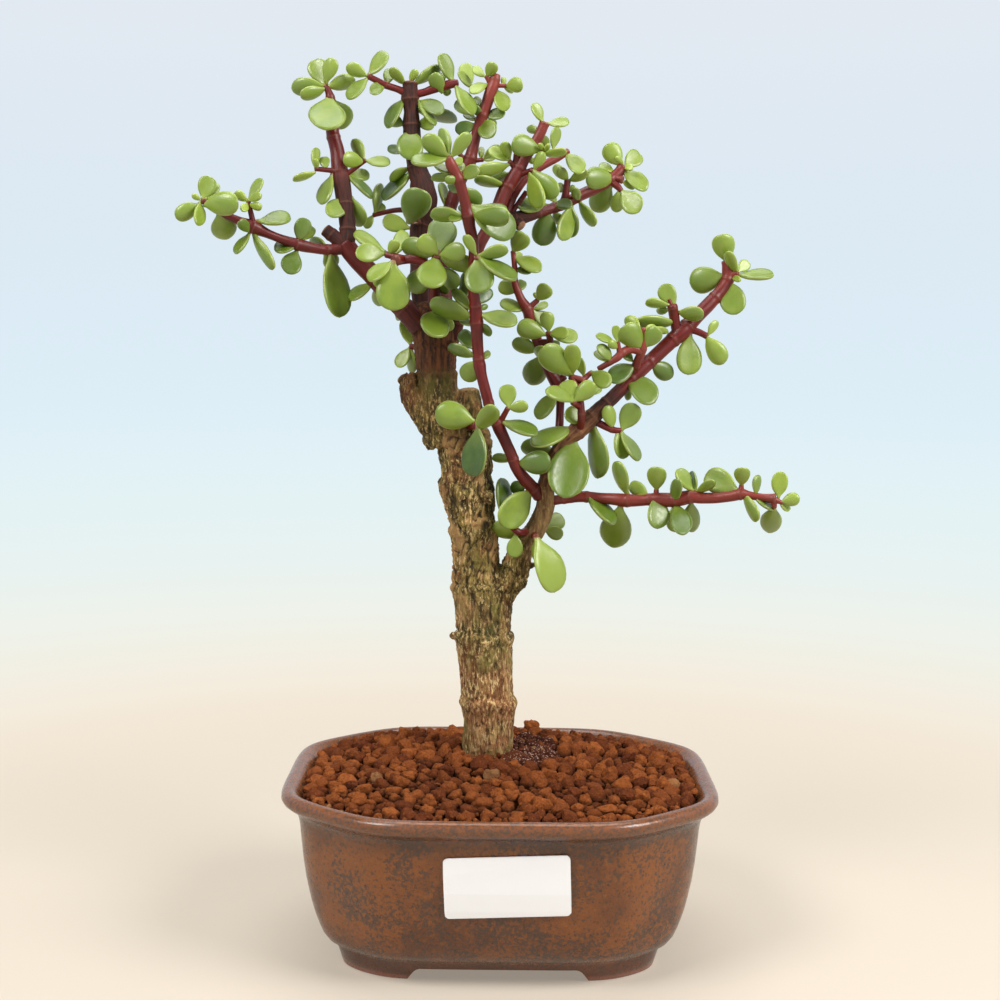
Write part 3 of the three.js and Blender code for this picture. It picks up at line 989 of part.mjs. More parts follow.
// the stems of every branch, and the same stems a little fatter to keep the others clear of them
const placed = [{ owner: 'trunk', solid: fatTrunk, box: fatTrunk.boundingBox() }];
BRANCHES.forEach((branch) => {
  branch.stems = wasm.Manifold.union(branch.limbs.map((l, i) => stem(l, i ? 4 : 5, 0, 0)));
  branch.fat = wasm.Manifold.union(branch.limbs.map((l, i) => stem(l, i ? 4 : 5, JOINT_GAP, 0)));
  placed.push({ owner: branch.name, solid: branch.fat, box: branch.fat.boundingBox() });
});

function clear(probe, owner) {
  const box = probe.boundingBox();
  return placed.every((other) => {
    if (other.owner === owner || !boxesMeet(box, other.box)) {
      return true;
    }
    return probe.intersect(other.solid).isEmpty();
  });
}

const TRIES = [0, -1.5, 1.5, -3, 3, -4.5, 4.5, -6, 6, -8, 8];
function settle(leaf) {
  for (const scale of [1, 0.88, 0.76]) {
    for (const turn of [1, -1, 0.4]) {
      for (const more of TRIES) {
        const slope = leaf.slope * turn;
        const probe = leafBody(leaf, 0.3, more, slope, scale);
        if (clear(probe, leaf.branch.name)) {
          return leafBody(leaf, 0, more, slope, scale);
        }
      }
    }
  }
  return null;
}

leaves.sort((a, b) => b.size * b.w - a.size * a.w);
leaves.forEach((leaf) => {
  leaf.solid = settle(leaf);
  if (leaf.solid !== null) {
    const guard = leaf.solid;
    placed.push({ owner: leaf.branch.name, solid: guard, box: guard.boundingBox() });
  }
});

function largest(solid) {
  const pieces = solid.decompose();
  pieces.sort((a, b) => b.volume() - a.volume());
  return pieces[0];
}

function branchBody(branch) {
  let stems = branch.stems.subtract(fatTrunk);
  BRANCHES.forEach((other) => {
    if (other.id < branch.id || branch.root === other.name) {
      if (other !== branch && other.root !== branch.name) {
        stems = stems.subtract(other.fat);
      }
    }
    if (other.id > branch.id && branch.root === other.name) {
      stems = stems.subtract(other.fat);
    }
  });
  const parts = leaves.filter((leaf) => leaf.branch === branch && leaf.solid !== null);
  return largest(wasm.Manifold.union([stems, ...parts.map((leaf) => leaf.solid)]));
}

function addNode(group, name, solid, colour, roughness) {
  const mesh = solid.simplify(MERGE).getMesh();
  const geometry = new THREE.BufferGeometry();
  geometry.setAttribute('position', new THREE.BufferAttribute(Float32Array.from(mesh.vertProperties), 3));
  geometry.setIndex(new THREE.BufferAttribute(Uint32Array.from(mesh.triVerts), 1));
  geometry.computeVertexNormals();
  const material = new THREE.MeshStandardMaterial({ color: colour, roughness, metalness: 0 });
  const node = new THREE.Mesh(geometry, material);
  node.name = name;
  group.add(node);
}

const model = new THREE.Group();
model.name = 'dwarf_jade_bonsai';
addNode(model, 'pot', buildPot(), 0x6e4630, 0.6);
addNode(model, 'drain_mesh_left', buildMesh(-1), 0x2c2c2c, 0.7);
addNode(model, 'drain_mesh_right', buildMesh(1), 0x2c2c2c, 0.7);
addNode(model, 'soil', buildSoil(), 0x8a4a26, 0.95);
addNode(model, 'label', buildLabel(), 0xe8e8e6, 0.5);
addNode(model, 'trunk', trunk, 0x75604a, 0.9);
BRANCHES.forEach((branch) => {
  addNode(model, branch.name, branchBody(branch), branch.colour || 0x7f9f4a, 0.45);
});

// stand the pot's feet on z = 0 with the whole plant centred over the origin
const box = new THREE.Box3().setFromObject(model);
const shiftX = -(box.min.x + box.max.x) / 2;
const shiftY = -(box.min.y + box.max.y) / 2;
model.children.forEach((node) => node.geometry.translate(shiftX, shiftY, 0));

export default model;
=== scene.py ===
import bpy
import math
import numpy as np
from mathutils import Matrix, Vector


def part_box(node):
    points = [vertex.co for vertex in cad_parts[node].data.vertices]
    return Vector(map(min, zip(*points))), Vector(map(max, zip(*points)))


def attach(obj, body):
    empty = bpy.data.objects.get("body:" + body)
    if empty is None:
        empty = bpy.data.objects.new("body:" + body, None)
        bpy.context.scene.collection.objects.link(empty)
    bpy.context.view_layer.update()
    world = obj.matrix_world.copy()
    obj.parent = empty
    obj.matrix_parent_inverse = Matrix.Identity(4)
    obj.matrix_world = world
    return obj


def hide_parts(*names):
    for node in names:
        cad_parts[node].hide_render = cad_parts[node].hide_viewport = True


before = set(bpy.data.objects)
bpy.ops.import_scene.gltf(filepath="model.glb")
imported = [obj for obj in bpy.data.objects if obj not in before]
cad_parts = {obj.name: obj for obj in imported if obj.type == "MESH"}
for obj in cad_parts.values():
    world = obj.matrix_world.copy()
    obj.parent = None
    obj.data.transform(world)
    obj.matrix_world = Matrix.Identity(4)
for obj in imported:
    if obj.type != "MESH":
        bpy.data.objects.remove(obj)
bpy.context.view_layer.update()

# A dwarf jade bonsai in a soft-octagon pot. Lengths are millimetres until make() turns them to metres.
FAN_Y, FAN_Z, PLANE_Y = -502.6, 207.6, 16.0
POT_X, CORNER_SOFTNESS, CORNER_CUT = 1.0, 18.0, 1.56
FOOT_CUT, FOOT_CUT_HEIGHT, FOOT_HEIGHT = 1.7, 24.0, 5.0
LEAF_THICK, LEAF_SHAPE, LEAF_GAP, STEM_GAP, SHIFT_LIMIT = 2.1, 0.66, 2.5, 1.4, 8.0
LEAF_SIDES, STEM_SIDES, STUB_SIDES, TRUNK_SIDES, POT_SIDES, ROUND = 14, 16, 28, 48, 240, 96
STEM_STEP, STUB_STEP, TRUNK_STEP, VOXEL, RING_EVERY = 0.45, 1.0, 1.2, 0.41, 11.0
TRUNK_X, TRUNK_Y, HEAP_X, HEAP_Y, SOIL_TOP, MOUND = -3.5, 16.0, 12.0, 14.0, 57.6, 4.6
CRUMBS, CRUMB_TRIES, POT_SHARP, GRANULE_SHARP = 500, 6000, 38, 48
LENS, CAMERA_TILT, CAMERA_ROLL = 54.0, -6.17, 0.62
MM = 0.001
pot_low, pot_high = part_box("pot")
SHIFT = np.array([(pot_low.x + pot_high.x) * 500 - POT_X, (pot_low.y + pot_high.y) * 500, 0.0])


def table(text, width):
    """The text's numbers in rows of that width. The commas between rows are for the reader."""
    return np.array(text.replace(",", " ").split(), float).reshape(-1, width)


def limbs(text):
    """Limbs, parted by semicolons. A point is x, z, depth and radius. As in the part's source, x and z
    lie on the plane y = PLANE_Y, seen from the fan centre, and depth is the point's own y."""
    return [table(limb, 4).tolist() for limb in text.split(";")]


TRUNK, *TRUNK_LIMBS = limbs("""
-3.5 44 16 8.6, -3.5 54 16 8.6, -3.5 60 16 8.6, -3.3 66 16 9.1, -3.2 72 16 9, -3.3 76 16 9.3,
-3.4 80 16 9.9, -3.7 84 16 9.4, -4.2 90 16 9.3, -4.7 96 16 9.6, -5.2 103.5 16 10.2,
-5.4 108 16 9.7, -5.5 114 16 9.8, -7 120 16 9.2, -7.9 126 16 8.2, -8.1 131 16 8.1,
-8.6 137 16 8.2, -9 141 16 8.4, -10 146 16 8.2, -10.7 150 16 8.8, -11.8 154.5 16 9.6,
-11.9 157 16 9.2, -11.6 161 16 8.6, -11.9 165 16 9, -12.5 169 16 9.2, -13 172.5 16 9.7,
-14.5 176 16 10.3, -17.5 180 16 8.7, -20 185 16 7.5, -21.8 190 16 6.9, -22.1 194 16 7,
-22.6 199 16 7, -22.6 204.3 16 7.7, -22.4 210 16.5 8.6, -22.4 213 17 8.8, -23.5 216.5 17.5 7.8,
-24 219.3 18 5.2; -2.5 112 16 5.2, -0.6 117.5 16 5.6, 1.8 121 16 5.5, 4.5 125 16 5.3,
6.2 130 16 4.9, 8.3 135.5 15 4.1, 12.2 141 14.5 3.7, 15.4 148 14 3.4, 16 152.5 13.5 3.3,
15.4 156.5 13 2.6; -20 171 15.5 6.2, -22.5 176.5 15 6, -27 182 15 4.8, -31 187.5 15 4,
-32.4 193.8 15 3.1; -11.5 168 15 6.6, -11 174 15 6.5, -10.8 180 15 5.2, -11 184.5 15 4.6,
-11.3 189.3 15 3.8; -7.6 142.5 14 3.6, -5.2 142.8 7.2 2.4; -5.8 152.5 13 3, -3.8 152.4 7.6 2;
-18 205.5 12 1.5, -16.9 205.4 8 0.9; 8.6 128.3 15 1.8, 12 128.8 14 1.1, 13.6 129.5 14 0.7;
-13.5 103.5 16 1.8, -16.4 103.6 16 0.9""")
# Each leafy stem's limbs, then its leaves: base x and z, tip x and z, width, and the tip's depth less
# the base's.
PLANT = {
"left_branch": ("""
-28 211 13 3.9, -33 216.5 12 3.8, -38 221.5 12 3.6, -45 229 12 3.4, -50 234 12 3.3,
-54 238.8 12 3.1; -54 238 12 2.6, -57 240.8 12 2.4, -60.5 243.5 12 2.2; -53 237.5 12 2.2,
-59 236.9 10 1.9, -64 237.3 8 1.8, -69.5 238.4 6 2.1, -75 240.1 4 1.6, -80 242 2 1.6,
-85 244.2 0 2.3, -90 246.3 -2 1.5, -94 248 -3 1.3, -98 250.4 -4 1.1, -102.3 252.8 -5 1;
-53.5 238 12 3, -53 243 13 2.8, -53.3 247 14 2.7, -54.3 255 16 2.8, -55.5 262.5 18 2.9,
-56.5 270 20 2.45, -58 276 21 2.3, -58.5 284 23 2.1, -58.9 288 23 1.5, -60.2 291.5 23 0.9;
-55.5 263 18 1.2, -58.5 263.5 16 0.9, -64 264 14 0.8; -54.5 261.5 18 1.2, -52 263.3 18 0.9,
-47 267 19 0.8; -85 244.8 0 1.1, -86.8 252.7 -1 0.8""", """
-102.5 253.5 -99.5 260.8 6.5 3, -101.5 253.6 -96.5 257.8 3.5 5, -102 251.5 -90.5 252.5 8.5 -5,
-103.5 251.9 -111.5 247 6 -2, -103.3 252.6 -104 244.3 4 -5, -103 253.2 -106 254.8 1.8 -1,
-97 249 -94 239.8 9 5, -86.3 242.5 -89.6 246.3 4 -4, -86.5 242.2 -91.3 235 2.6 -3,
-85 242.4 -79 229.7 3 -3, -83.5 246.3 -72.3 247 4.5 4, -86.8 253.2 -81.8 260.3 3.2 2,
-86.6 252.9 -82.3 255.4 3 -2, -86.9 252.9 -91.5 255.8 3.2 0, -87 252.5 -89 249.4 3 -3,
-86.4 252.1 -82.4 250.5 3 -3, -70 239.7 -67 247.3 6 3, -68.3 240 -65 244.5 4 5,
-70 238.8 -78 236.5 4.3 -5, -70.3 236.5 -73.5 228.5 7.3 -3, -60 238 -66 240.2 3.2 5,
-61 235.7 -56.8 231 6 4, -58.7 235.2 -56.2 213.8 9 -4, -51.5 252.5 -60.5 249.3 6.5 -5,
-51.8 254.8 -48.5 244.7 6 3, -58.3 262 -62 252 4.5 -3, -64 264.5 -64 271 3 2,
-64 262.9 -71.5 259.8 2.5 -2, -63 263.9 -64.5 267.2 2.2 -2, -60.5 264 -61 268 3.7 3,
-47.3 267.3 -51.5 274 4.2 3, -47 267 -38.5 266 3.5 1, -47.7 266.3 -54.3 267.8 5.5 -4,
-53 261.8 -44.3 254.5 2.6 -2, -53 262.3 -45.5 261.5 4 5, -59 288 -60.5 276.3 13 -5,
-58 287 -54 277.5 9.4 5, -61 291.9 -64 300 7 2, -60 292.6 -58.5 300.8 5.2 -1,
-60 291.2 -50.2 293.5 5.5 3, -61 291.6 -72 290.6 6.5 1, -60.5 290.8 -68.7 287.6 4.6 -4,
-44.5 226 -52.3 219.7 3.9 -2, -43 225 -42 217.8 5 4, -34.5 216.3 -36 213.2 2.4 1"""),
"front_left_branch": ("""
-22 212 14 2.4, -23 219 6 2.2, -23.5 225 3 2, -23.5 231 0 1.9, -22.4 235.4 -3 1.5;
-23.7 231.5 0 1.4, -30 233.8 -1 1.5, -34 233.8 -1 1.6, -36.6 233.5 -5 1.9; -33 233.8 -1 1.4,
-39.8 235.5 1 1.1""", """
-21.8 236.5 -20 247 10.2 2, -22.2 235.8 -28.5 241.3 6.9 -3, -23 235.5 -34.9 238.7 7.2 1,
-21.4 235.5 -13 237.3 6.6 -2, -22.6 234.8 -25.3 224.5 10.5 -6, -24.8 231 -31.8 223.2 8 2,
-22 232 -15.8 224.2 5.9 1, -22.8 226.5 -18.5 222.7 3.4 3, -21.5 234.9 -9.8 231.4 6.2 1,
-40 236.2 -51 242 4.2 3, -40.2 235.6 -50.3 236 6.6 -2, -38.7 235.4 -36.5 240.2 4 -3,
-37.5 235.2 -33 243.2 5 2, -37.9 233 -45.8 226.4 5.2 -1, -37.5 232.5 -43 224.4 3.4 3,
-37.2 232.4 -37.4 216.4 12 -2"""),
"leader": ("""
-26 213 20 4, -27.5 221 21 3.6, -28.5 230 21.5 3.2, -28.8 238 22 3, -28.7 244 22 3.2,
-27.2 249.5 22 3.9, -27 255 22 4.5, -28 260 22.5 3.9, -29 263 23 3.4, -30.8 272 24 3,
-31.4 279 24.5 2.9, -31.6 284 25 2.5, -32 288.5 25 2.9, -32 292.8 25 2.4; -32 289 25 1.6,
-36 290.7 24 1.2, -40 292 23 1.2, -46 294.9 22 1; -31.5 288.8 25 1.5, -27 289.8 25.5 1.3,
-23 291.3 26 1.6, -17.7 292.7 27 1.5, -15.8 293.1 27 1.1; -28.6 246 21 1.3, -29.2 246.6 17.4 1.1;
-28 250 23 1.1, -36 250.5 26 0.9, -44.2 248.7 27 0.8""", """
-32.2 246.2 -28.2 257.4 10.6 -9, -31.8 244.5 -41 247 6 1, -31.8 264.8 -38.6 260.2 3.2 0,
-31.8 263 -40.4 253.4 4.2 2, -33 270.5 -39.4 270.5 3.2 4, -33.5 278.8 -40.6 281.6 4.6 1,
-29.5 279.3 -23.6 279.6 4.8 2, -31.4 277.7 -32 267.5 9.2 -5, -33.8 287.4 -40 278.1 4.2 0,
-29.6 287.3 -23 279 2.4 -3, -29.3 286.8 -20.3 283.5 5 2, -29.5 284 -15.8 280.2 4.2 6,
-33.2 292.4 -39 297.1 3.4 -3, -31.6 292.9 -30.2 297.4 2.8 -3, -30.9 292.4 -21.4 298.3 3.4 4,
-46.2 295 -53.5 298 4.6 1, -45.9 295.3 -39.5 302.6 4.7 3, -46.3 294.2 -53 287.2 4.3 -3,
-40.3 291.8 -45.5 289.6 4.1 -4, -39.8 292.4 -38.5 297.2 4.1 3, -21 289.6 -24.3 296 5.4 -4,
-22 292.5 -21.3 296.2 3.4 4, -19.5 291.6 -19.3 288.6 3 3, -17.3 293.3 -21.9 302.4 4.6 -1,
-16.6 292.2 -10.5 282.2 4.7 -4, -44.3 248.7 -46.9 244.2 3.2 0, -43.5 248.9 -40.6 252.3 3.2 1,
-43.7 249.2 -41.4 259.4 3.4 3"""),
"back_stem": ("""
-18 211 22 2.6, -19.5 222 25 2.4, -20.3 235 27 2.3, -19.3 246 28 2.3, -17.3 254 28.5 2.3,
-14.8 260.5 29 2.2, -12.7 264.5 29.3 2.2, -11.6 267 29.5 2.4, -10.7 270.5 29.7 2,
-9.5 275.5 30 1.8, -7.6 281.5 30 2, -6.3 285 30 1.9, -5 289 30 2.1, -3.8 292.3 30 2,
-2.9 295.8 30 1.6; -12 266.8 29.5 0.9, -15.3 269.6 28.5 0.7; -11 267.2 29.5 0.9,
-7 267.6 28.5 0.7; -4.6 292.5 30 0.9, -6.1 295.3 29.5 0.8; -3.4 292.3 30 0.8, 0.7 292.2 29.5 0.7;
-4.8 292 30 1, -11.2 291.7 32.5 0.8""", """
-6.4 295.2 -10.9 297.9 2.8 2, -6 295.1 -3.5 299.7 4.4 -2, 0.6 292.2 6 292.9 5.4 -1,
-0.6 292.3 0 295 2 2, -0.2 291.9 3 290 1.8 2, -3 291 0.9 283.9 5.4 -2,
-5.6 292.8 -11.9 289.8 3.7 -3, -11 291.4 -15.9 296.4 2.8 -3, -11.4 292 -13.8 299.3 5.2 2,
-6.6 282 0.4 283.3 4.1 -2, -7.4 281.9 -10.7 285.3 3 -3, -8.3 280.8 -3.5 275.2 6.8 -5,
-6.3 280.4 -2.4 279.6 2.7 3, -8 283.8 -17 285.8 5.3 1, -7 285 -10.7 287.8 2.8 4,
-9 281 -13.8 282.4 2.6 4, -9.5 279.4 -16.5 277.1 4.9 -1, -7 267.8 -1.2 272.3 2.5 3,
-7.9 267.9 -7.3 271.7 2.2 1, -7 267.5 -3 269.9 4 4, -18.5 251 -22 259.6 2.8 4,
-15.2 269.3 -14.3 272 2.6 3"""),
"right_leader": ("""
-17 208 14 2.8, -14.5 216 11 2.6, -12.5 224 9 2.4, -10.3 231.5 8 2.3, -8.3 238.5 8 2.2,
-5.5 243.8 9 2.2, -2.3 250 10 2.4, 0.5 257 11 2.5, 3 261 11.5 2.5, 4.8 264 12 2.4,
7.2 268.5 12 2, 10 272.6 12 1.9, 12 276 12 1.8, 13.7 280 12 1.7; 4 265.5 12 1.2,
4.4 269.6 11 1.1; 4.2 264.5 12 1, 2 267.2 10 0.8; 5 262.5 12 1.1, 9.8 264.4 9 0.9;
9.3 271.5 12 0.9, 12.9 270.2 9.5 0.8""", """
12.4 270.7 2.8 273.8 7.4 -5, 2.2 268 -0.3 273.6 4 -1, 1.8 267.6 -5.3 270.8 3.8 -3,
1.8 266.3 -8.5 262.6 4.6 -2, 2 263 -8.3 260.6 5.8 1, 0.6 259.5 -9.9 260.4 3.2 -3,
10.2 264.2 17.7 255.2 7.2 -3, 10.4 264.6 13.1 270.6 3.7 -2, 8.9 263.6 13 251.5 5.4 -4,
9.6 263.4 17.7 253.6 2.2 1, 8.6 268.8 10.6 266.6 2.2 3, 13.2 280.4 9.2 286.3 3.4 -1,
14.8 279.9 22 280 3.4 1, 12 277 7.8 278.4 3 4, 12.6 276.5 14.4 272.4 3.7 4,
12.8 270.7 12.6 273.3 1.8 -3, 13.2 270.6 15.7 272.7 1.7 -3, 13.1 270 21.3 270.2 2.9 -4,
-13 219.5 -13.5 229.6 3.4 -5"""),
"back_right_branch": ("""
-1.5 248.5 11 2.7, 3.5 247.6 15 2.8, 8 249 18 2.3, 14 250.8 22 1.9, 20 252.8 25 1.9, 26 256 28 2,
31.5 258.7 30 2, 36 261.3 32 2, 38.8 263.5 33 1.9, 40.3 265.8 33.5 1.7; 4 247.4 15 2.5,
6.2 245.7 13.5 2; 36.2 261 32 1.1, 38.7 259.3 31 1.2, 40 257.8 30.5 0.9; 37 262.3 32.5 1.2,
40.4 261.4 31 1.3; 20.5 253 25 1.5, 21.2 256.5 25 1.3, 21.8 261 25 1.1; 1 249 14 1.6,
3 254.8 16 1.5, 6.5 260.5 17.5 1.5, 10.5 264 19 1.4, 13.5 266 20 1.4, 19 269 22 1.3,
21.8 270.9 23 1; 2.6 249.5 15 0.9, 7.8 257 16 0.9; 15.8 267.2 21 0.6, 16.8 271.5 21 0.5""", """
39.8 266 35 273.4 6.8 -1, 41.2 266 46 270.2 6.2 1, 40.4 266.2 38.7 269.5 1.8 -3,
40.4 265.8 44 265.2 2.3 -3, 40.6 264.6 48.7 257.9 5.4 -2, 40.5 261 44.9 259 3.4 3,
40.2 257.9 46.4 250.7 7.6 -2, 39.2 257.9 38.4 250.5 4.7 2, 36.7 259.5 30.5 250.8 8 3,
37.8 261.3 28.3 262.3 7.8 -5, 37.8 263.8 32.3 266.2 2.8 2, 25.8 254.2 24 258.2 3.3 -4,
26 254 31.1 245.7 4.1 -3, 17 253 23.8 252.7 3.8 -5, 17.3 251 19.3 246.1 3.5 4,
22.8 252.5 20 240.7 5.6 -3, 23.3 252.5 23.2 241.8 4.6 3, 15.6 250.6 13 239 8.5 2,
20.8 257.3 18.2 259.4 3.4 3, 21.8 258 24.5 258.4 2.8 3, 15.5 252.5 4.6 252.4 5.2 -4,
21.6 261 16.9 266 3.7 1, 22 261 18.7 264.8 3.9 -3, 22.1 261 28.7 263.7 3.8 -1,
20.8 270 27.3 263.7 5.6 -2, 16.8 271.4 17.7 278.8 3.7 1"""),
"front_stem": ("""
13.6 153.2 13 2.4, 11.3 156 11 2.3, 8.4 159 9 2.2, 5.5 163 7 2, 3.7 167.5 6 2, 1.4 172.5 5 2,
-0.7 176.8 4 2.2, -2.1 180 3 1.9, -3.6 183 2.5 1.9, -5.6 190 1.5 1.9, -6.9 195 1 1.9,
-7.5 198 1 2.2, -7.9 200.5 0.6 2, -8.3 205 0 2, -8.6 210 -1 2.1, -8.9 214.5 -1.5 2.4,
-9.4 220 -3 1.95, -10 225 -4 1.8, -9.9 232 -5 1.8, -9.9 238 -6 1.8, -10.4 241.5 -6.5 1.9,
-11.3 245 -7 2, -12 249 -8 2.3, -12.7 252 -8.5 1.9, -14.3 258 -10 1.9, -15.5 261.3 -11 2.1,
-16.3 263 -11.5 1.9, -18 266.2 -12.5 1.9, -18.5 268.3 -13 1.2; -9.8 232 -5 1.4,
-8.8 235 -9.5 1.1; -0.4 178.3 3.5 1.1, 2.4 183.5 1 0.9""", """
10.9 155.2 -0.1 142.7 10.4 -6, 9 157.4 3.8 154.7 5.2 4, 4.3 165.8 -3 166 3.2 4,
6 164.4 17.3 164.9 8.5 -4, 0.4 179 12.8 174.5 4.4 -2, 2.6 183.8 2 191.6 6.2 2,
2.5 183.5 9.4 184.2 4.4 -1, -7 200.6 -3.9 202.4 2.4 3, -8.5 199.8 -12.7 192.8 7 4,
-9 201.3 -18.7 204.1 3.9 2, -9.5 203.8 -14.3 209.5 5.2 5, -7.8 212.8 -3.9 208 3 3,
-10 214.9 -25 218.6 6.5 -1, -7.5 215.6 5.3 212.6 5.2 -3, -10.3 217.2 -17.5 223.6 3.8 1,
-8.6 218.8 -4.7 224.6 5.2 5, -7.8 217 -5 218.7 2.1 2, -10 212 -14.6 213.6 2.8 5,
-13 249 -24.9 248.5 4.6 2, -13.2 248.5 -18.6 247.3 2.2 -2, -13 250 -15 252 2.2 3,
-10.8 250.5 1.5 250.5 3.8 -1, -10.4 249.3 1.8 247.7 6.8 -3, -11.3 252.2 3.7 242.3 10.6 5,
-14.4 261.5 -8.2 264.9 4.8 -3, -14.8 261.2 -19.8 260.3 3.1 -3, -16.5 261.6 -24.7 261.1 2.5 3,
-17 262.7 -23.7 265.8 2.8 3, -15.6 263.5 -13.7 266.3 2.7 4, -17.9 268.6 -11 276.1 4.8 -1,
-18.9 268.8 -27.6 274.9 6.3 -1, -18.4 268.8 -21.3 278 3.7 4, -19.2 267.8 -31.5 266.6 4.2 -3,
-17 267 -14 267 3 4, -14 258.3 -8 251.8 6.6 5, -14.8 256.5 -19 259.3 3 5, -8.4 235.5 2 237 4.4 0,
-9 235.8 -13.5 242.1 3.4 -1, -8.9 234.6 -7.2 222.5 10.5 -5, -8 234.9 4.5 226.9 4.4 -1,
-8 234.2 -3.8 232.2 2.6 3"""),
"right_back_stem": ("""
19.5 169.5 13 1.8, 20.2 176 18 1.5, 20.4 183 20 1.4, 20.4 189 20 1.7, 19.3 192.3 20 2.5,
17.4 195.3 20 2.2, 14.9 200 19.5 1.9, 12.5 206 19 1.8, 10 212.5 18.5 1.9, 8.8 217.2 18 2,
6.4 221 18 1.5, 4.3 226.5 18 1.2, 4.2 231 18 1, 3.5 237 18 0.8; 12.4 206 19 1.5,
16.4 206.4 16 1.3, 16 209.6 14 1; 19.3 192.8 20 1.3, 21.8 194.6 19 1.25; 8.9 217.7 18 1.1,
12.2 220.6 18 0.9""", """
3.5 236.9 7.3 243.2 7 0, 4 235 13.3 230.5 5.3 -1, 3.8 235 6.8 236.1 2.2 3,
4.3 231 10.1 230.2 3 -2, 5 223.3 -1.1 225.7 5.2 3, 5.5 223.5 7 227.2 3.8 4,
8 217.3 -0.8 219.4 4.1 1, 12.1 220.6 15.7 225.4 5.8 -1, 12 220.7 11.2 223.2 1.6 1,
10.3 217.2 17.3 211.7 5.2 1, 10.8 217.7 15.8 219.1 2.5 3, 16.1 209.8 15.2 216.6 5.1 -2,
15.2 208.8 5.4 211.9 7 -2, 16 209.2 23.2 209.3 4.5 -4, 16.6 209.4 26 207.7 5.2 2,
16.6 207 18.9 203.6 4.8 2, 12.8 203.3 3.5 206.1 5.6 1, 13.5 201.7 10 191.4 8.6 1,
19.3 189.5 12.6 179.8 5.7 -2"""),
"right_front_stem": ("""
27.5 177 11 1.4, 27.8 181 8 1.3, 27.3 186.5 8 1.25, 26 190.5 9 1.2, 24.3 194.5 10 1.3;
24.3 194.3 10 1.2, 27.9 193.4 9 1.2; 26.3 191.5 9.5 0.9, 28.9 194.2 12 1, 30.8 195.9 12 0.9;
27.4 184 8 1.1, 24.9 185.7 4.5 1.1""", """
24.7 185.9 15.4 190.1 4.9 -3, 24.7 186.2 22 193 7 1, 25.2 186.1 32.3 192.3 6.2 -1,
27.2 188.8 34.8 190.2 3.2 3, 24.2 195.3 14.3 204 9.4 -3, 24.4 195.4 24.6 205.5 6 -1,
23.9 195.6 11 203.9 5 2, 23.6 195 13.9 200.2 2.8 3, 28.4 194.8 26.6 201.4 3.4 2,
30.8 196.4 37.8 191.7 6.2 -3"""),
"right_branch": ("""
15.2 154.5 13 2.7, 16.2 159 13 2.5, 17.7 165 13 2.4, 20.5 170.5 13 2.3, 23.5 173.5 13 2.8,
26.5 175.8 13 3.3, 29.5 178.5 13.5 3.2, 32.5 181.5 14 2.8, 36.5 185.7 15 2.45, 41 190 17 2.4,
47 196.3 19 2.6, 52.3 201.3 21 2.5, 58 206.8 23 2.6, 62 210.5 24 3, 66.5 215.3 26 2.5,
71 220 28 2.4, 75.3 225 30 2.2, 77.2 229.3 31 2.3, 76.8 234.3 31 1.9; 77.2 229.3 31 2,
80.5 230.4 30 1.5; 32.3 179.4 14 1.4, 38.5 176.5 12 1.2, 41.6 176.2 12 0.9; 60 210 23.5 1.6,
59 216 22 1.8, 58.3 219.3 21 1.7; 58.2 219 21 0.7, 57.2 221.3 21 0.6; 63.5 211.3 25 1.3,
67 210.5 24 1.2, 70.4 209 23 1.1""", """
31.4 180.8 21.9 181.6 6.5 -5, 25.2 177.2 10.3 171 6 -6, 25.3 173.3 22.3 152.4 14.5 -6,
32 178.5 33.4 159.3 6.8 1, 38.6 176.8 37 184.8 4.9 3, 41.8 176.3 46.5 185.4 7.5 1,
40.4 176.2 42.7 166.3 5.5 -2, 41.6 175.8 47.9 165.6 3.8 2, 18.8 168.6 6.9 170.1 6.2 4,
43.3 195.5 53.1 185.8 8.6 -6, 43.2 191 43.7 186.5 2.4 3, 51.5 199.5 59.2 194.8 6.5 3,
76.4 234.3 74.9 243.5 8 0, 80.4 230.6 76.2 237.5 3.8 -3, 80.6 230.8 83.8 234.4 4.2 2,
80.7 229.9 92.8 229.5 3.4 -1, 78.3 229 81.6 228.1 2.2 -2, 76.6 228.3 80.5 216.4 9.2 -4,
75.8 229.6 64.1 227 9.2 2, 59.4 218.9 54.6 226.2 6.2 1, 57.4 219.5 49.1 219.6 3.2 0,
57.3 217.6 52.9 217.5 3.2 3, 60.2 217.1 69.2 215.9 5.2 -3, 59.6 213.9 45.5 212.2 4.5 -4,
64.6 209.4 64 195.6 8.8 -1, 70.3 208.9 76.3 199.4 6.9 -1, 70.8 209.3 74.2 214.1 2.6 1"""),
"right_inner_stem": ("""
45.3 195.5 18 1.6, 47 200.5 15 1.5, 48.6 204.8 13 1.4, 48.6 211.5 13 0.8; 48.2 203.2 13.5 1.5,
45 204.3 13 1.6, 41.8 203.2 12 1.5, 39.8 201.3 11 1.4, 37.3 199.6 11 1.1, 33.5 197.3 12 1;
40.6 202.6 11.5 0.9, 39.9 206.5 11 0.8""", """
48.2 204.4 41.9 212.1 8.5 -4, 49.2 204.9 53.7 211.4 6.2 -1, 47.8 210.8 42.2 214.9 4.4 3,
48.9 211 53.1 211.9 2 2, 49 210.7 57.3 210.3 2.2 3, 39.9 206.4 39.4 212.1 3.2 3,
39.3 206.3 32.2 208.6 2.6 -1, 39.8 204.5 37.1 206.5 3.2 -2, 46.1 198.8 36.8 193.4 6.7 -4,
45.3 200 41.6 202.9 3 -3, 37.9 199.9 33.3 205.7 3.9 -2, 37 200 31.7 202.9 2.4 3"""),
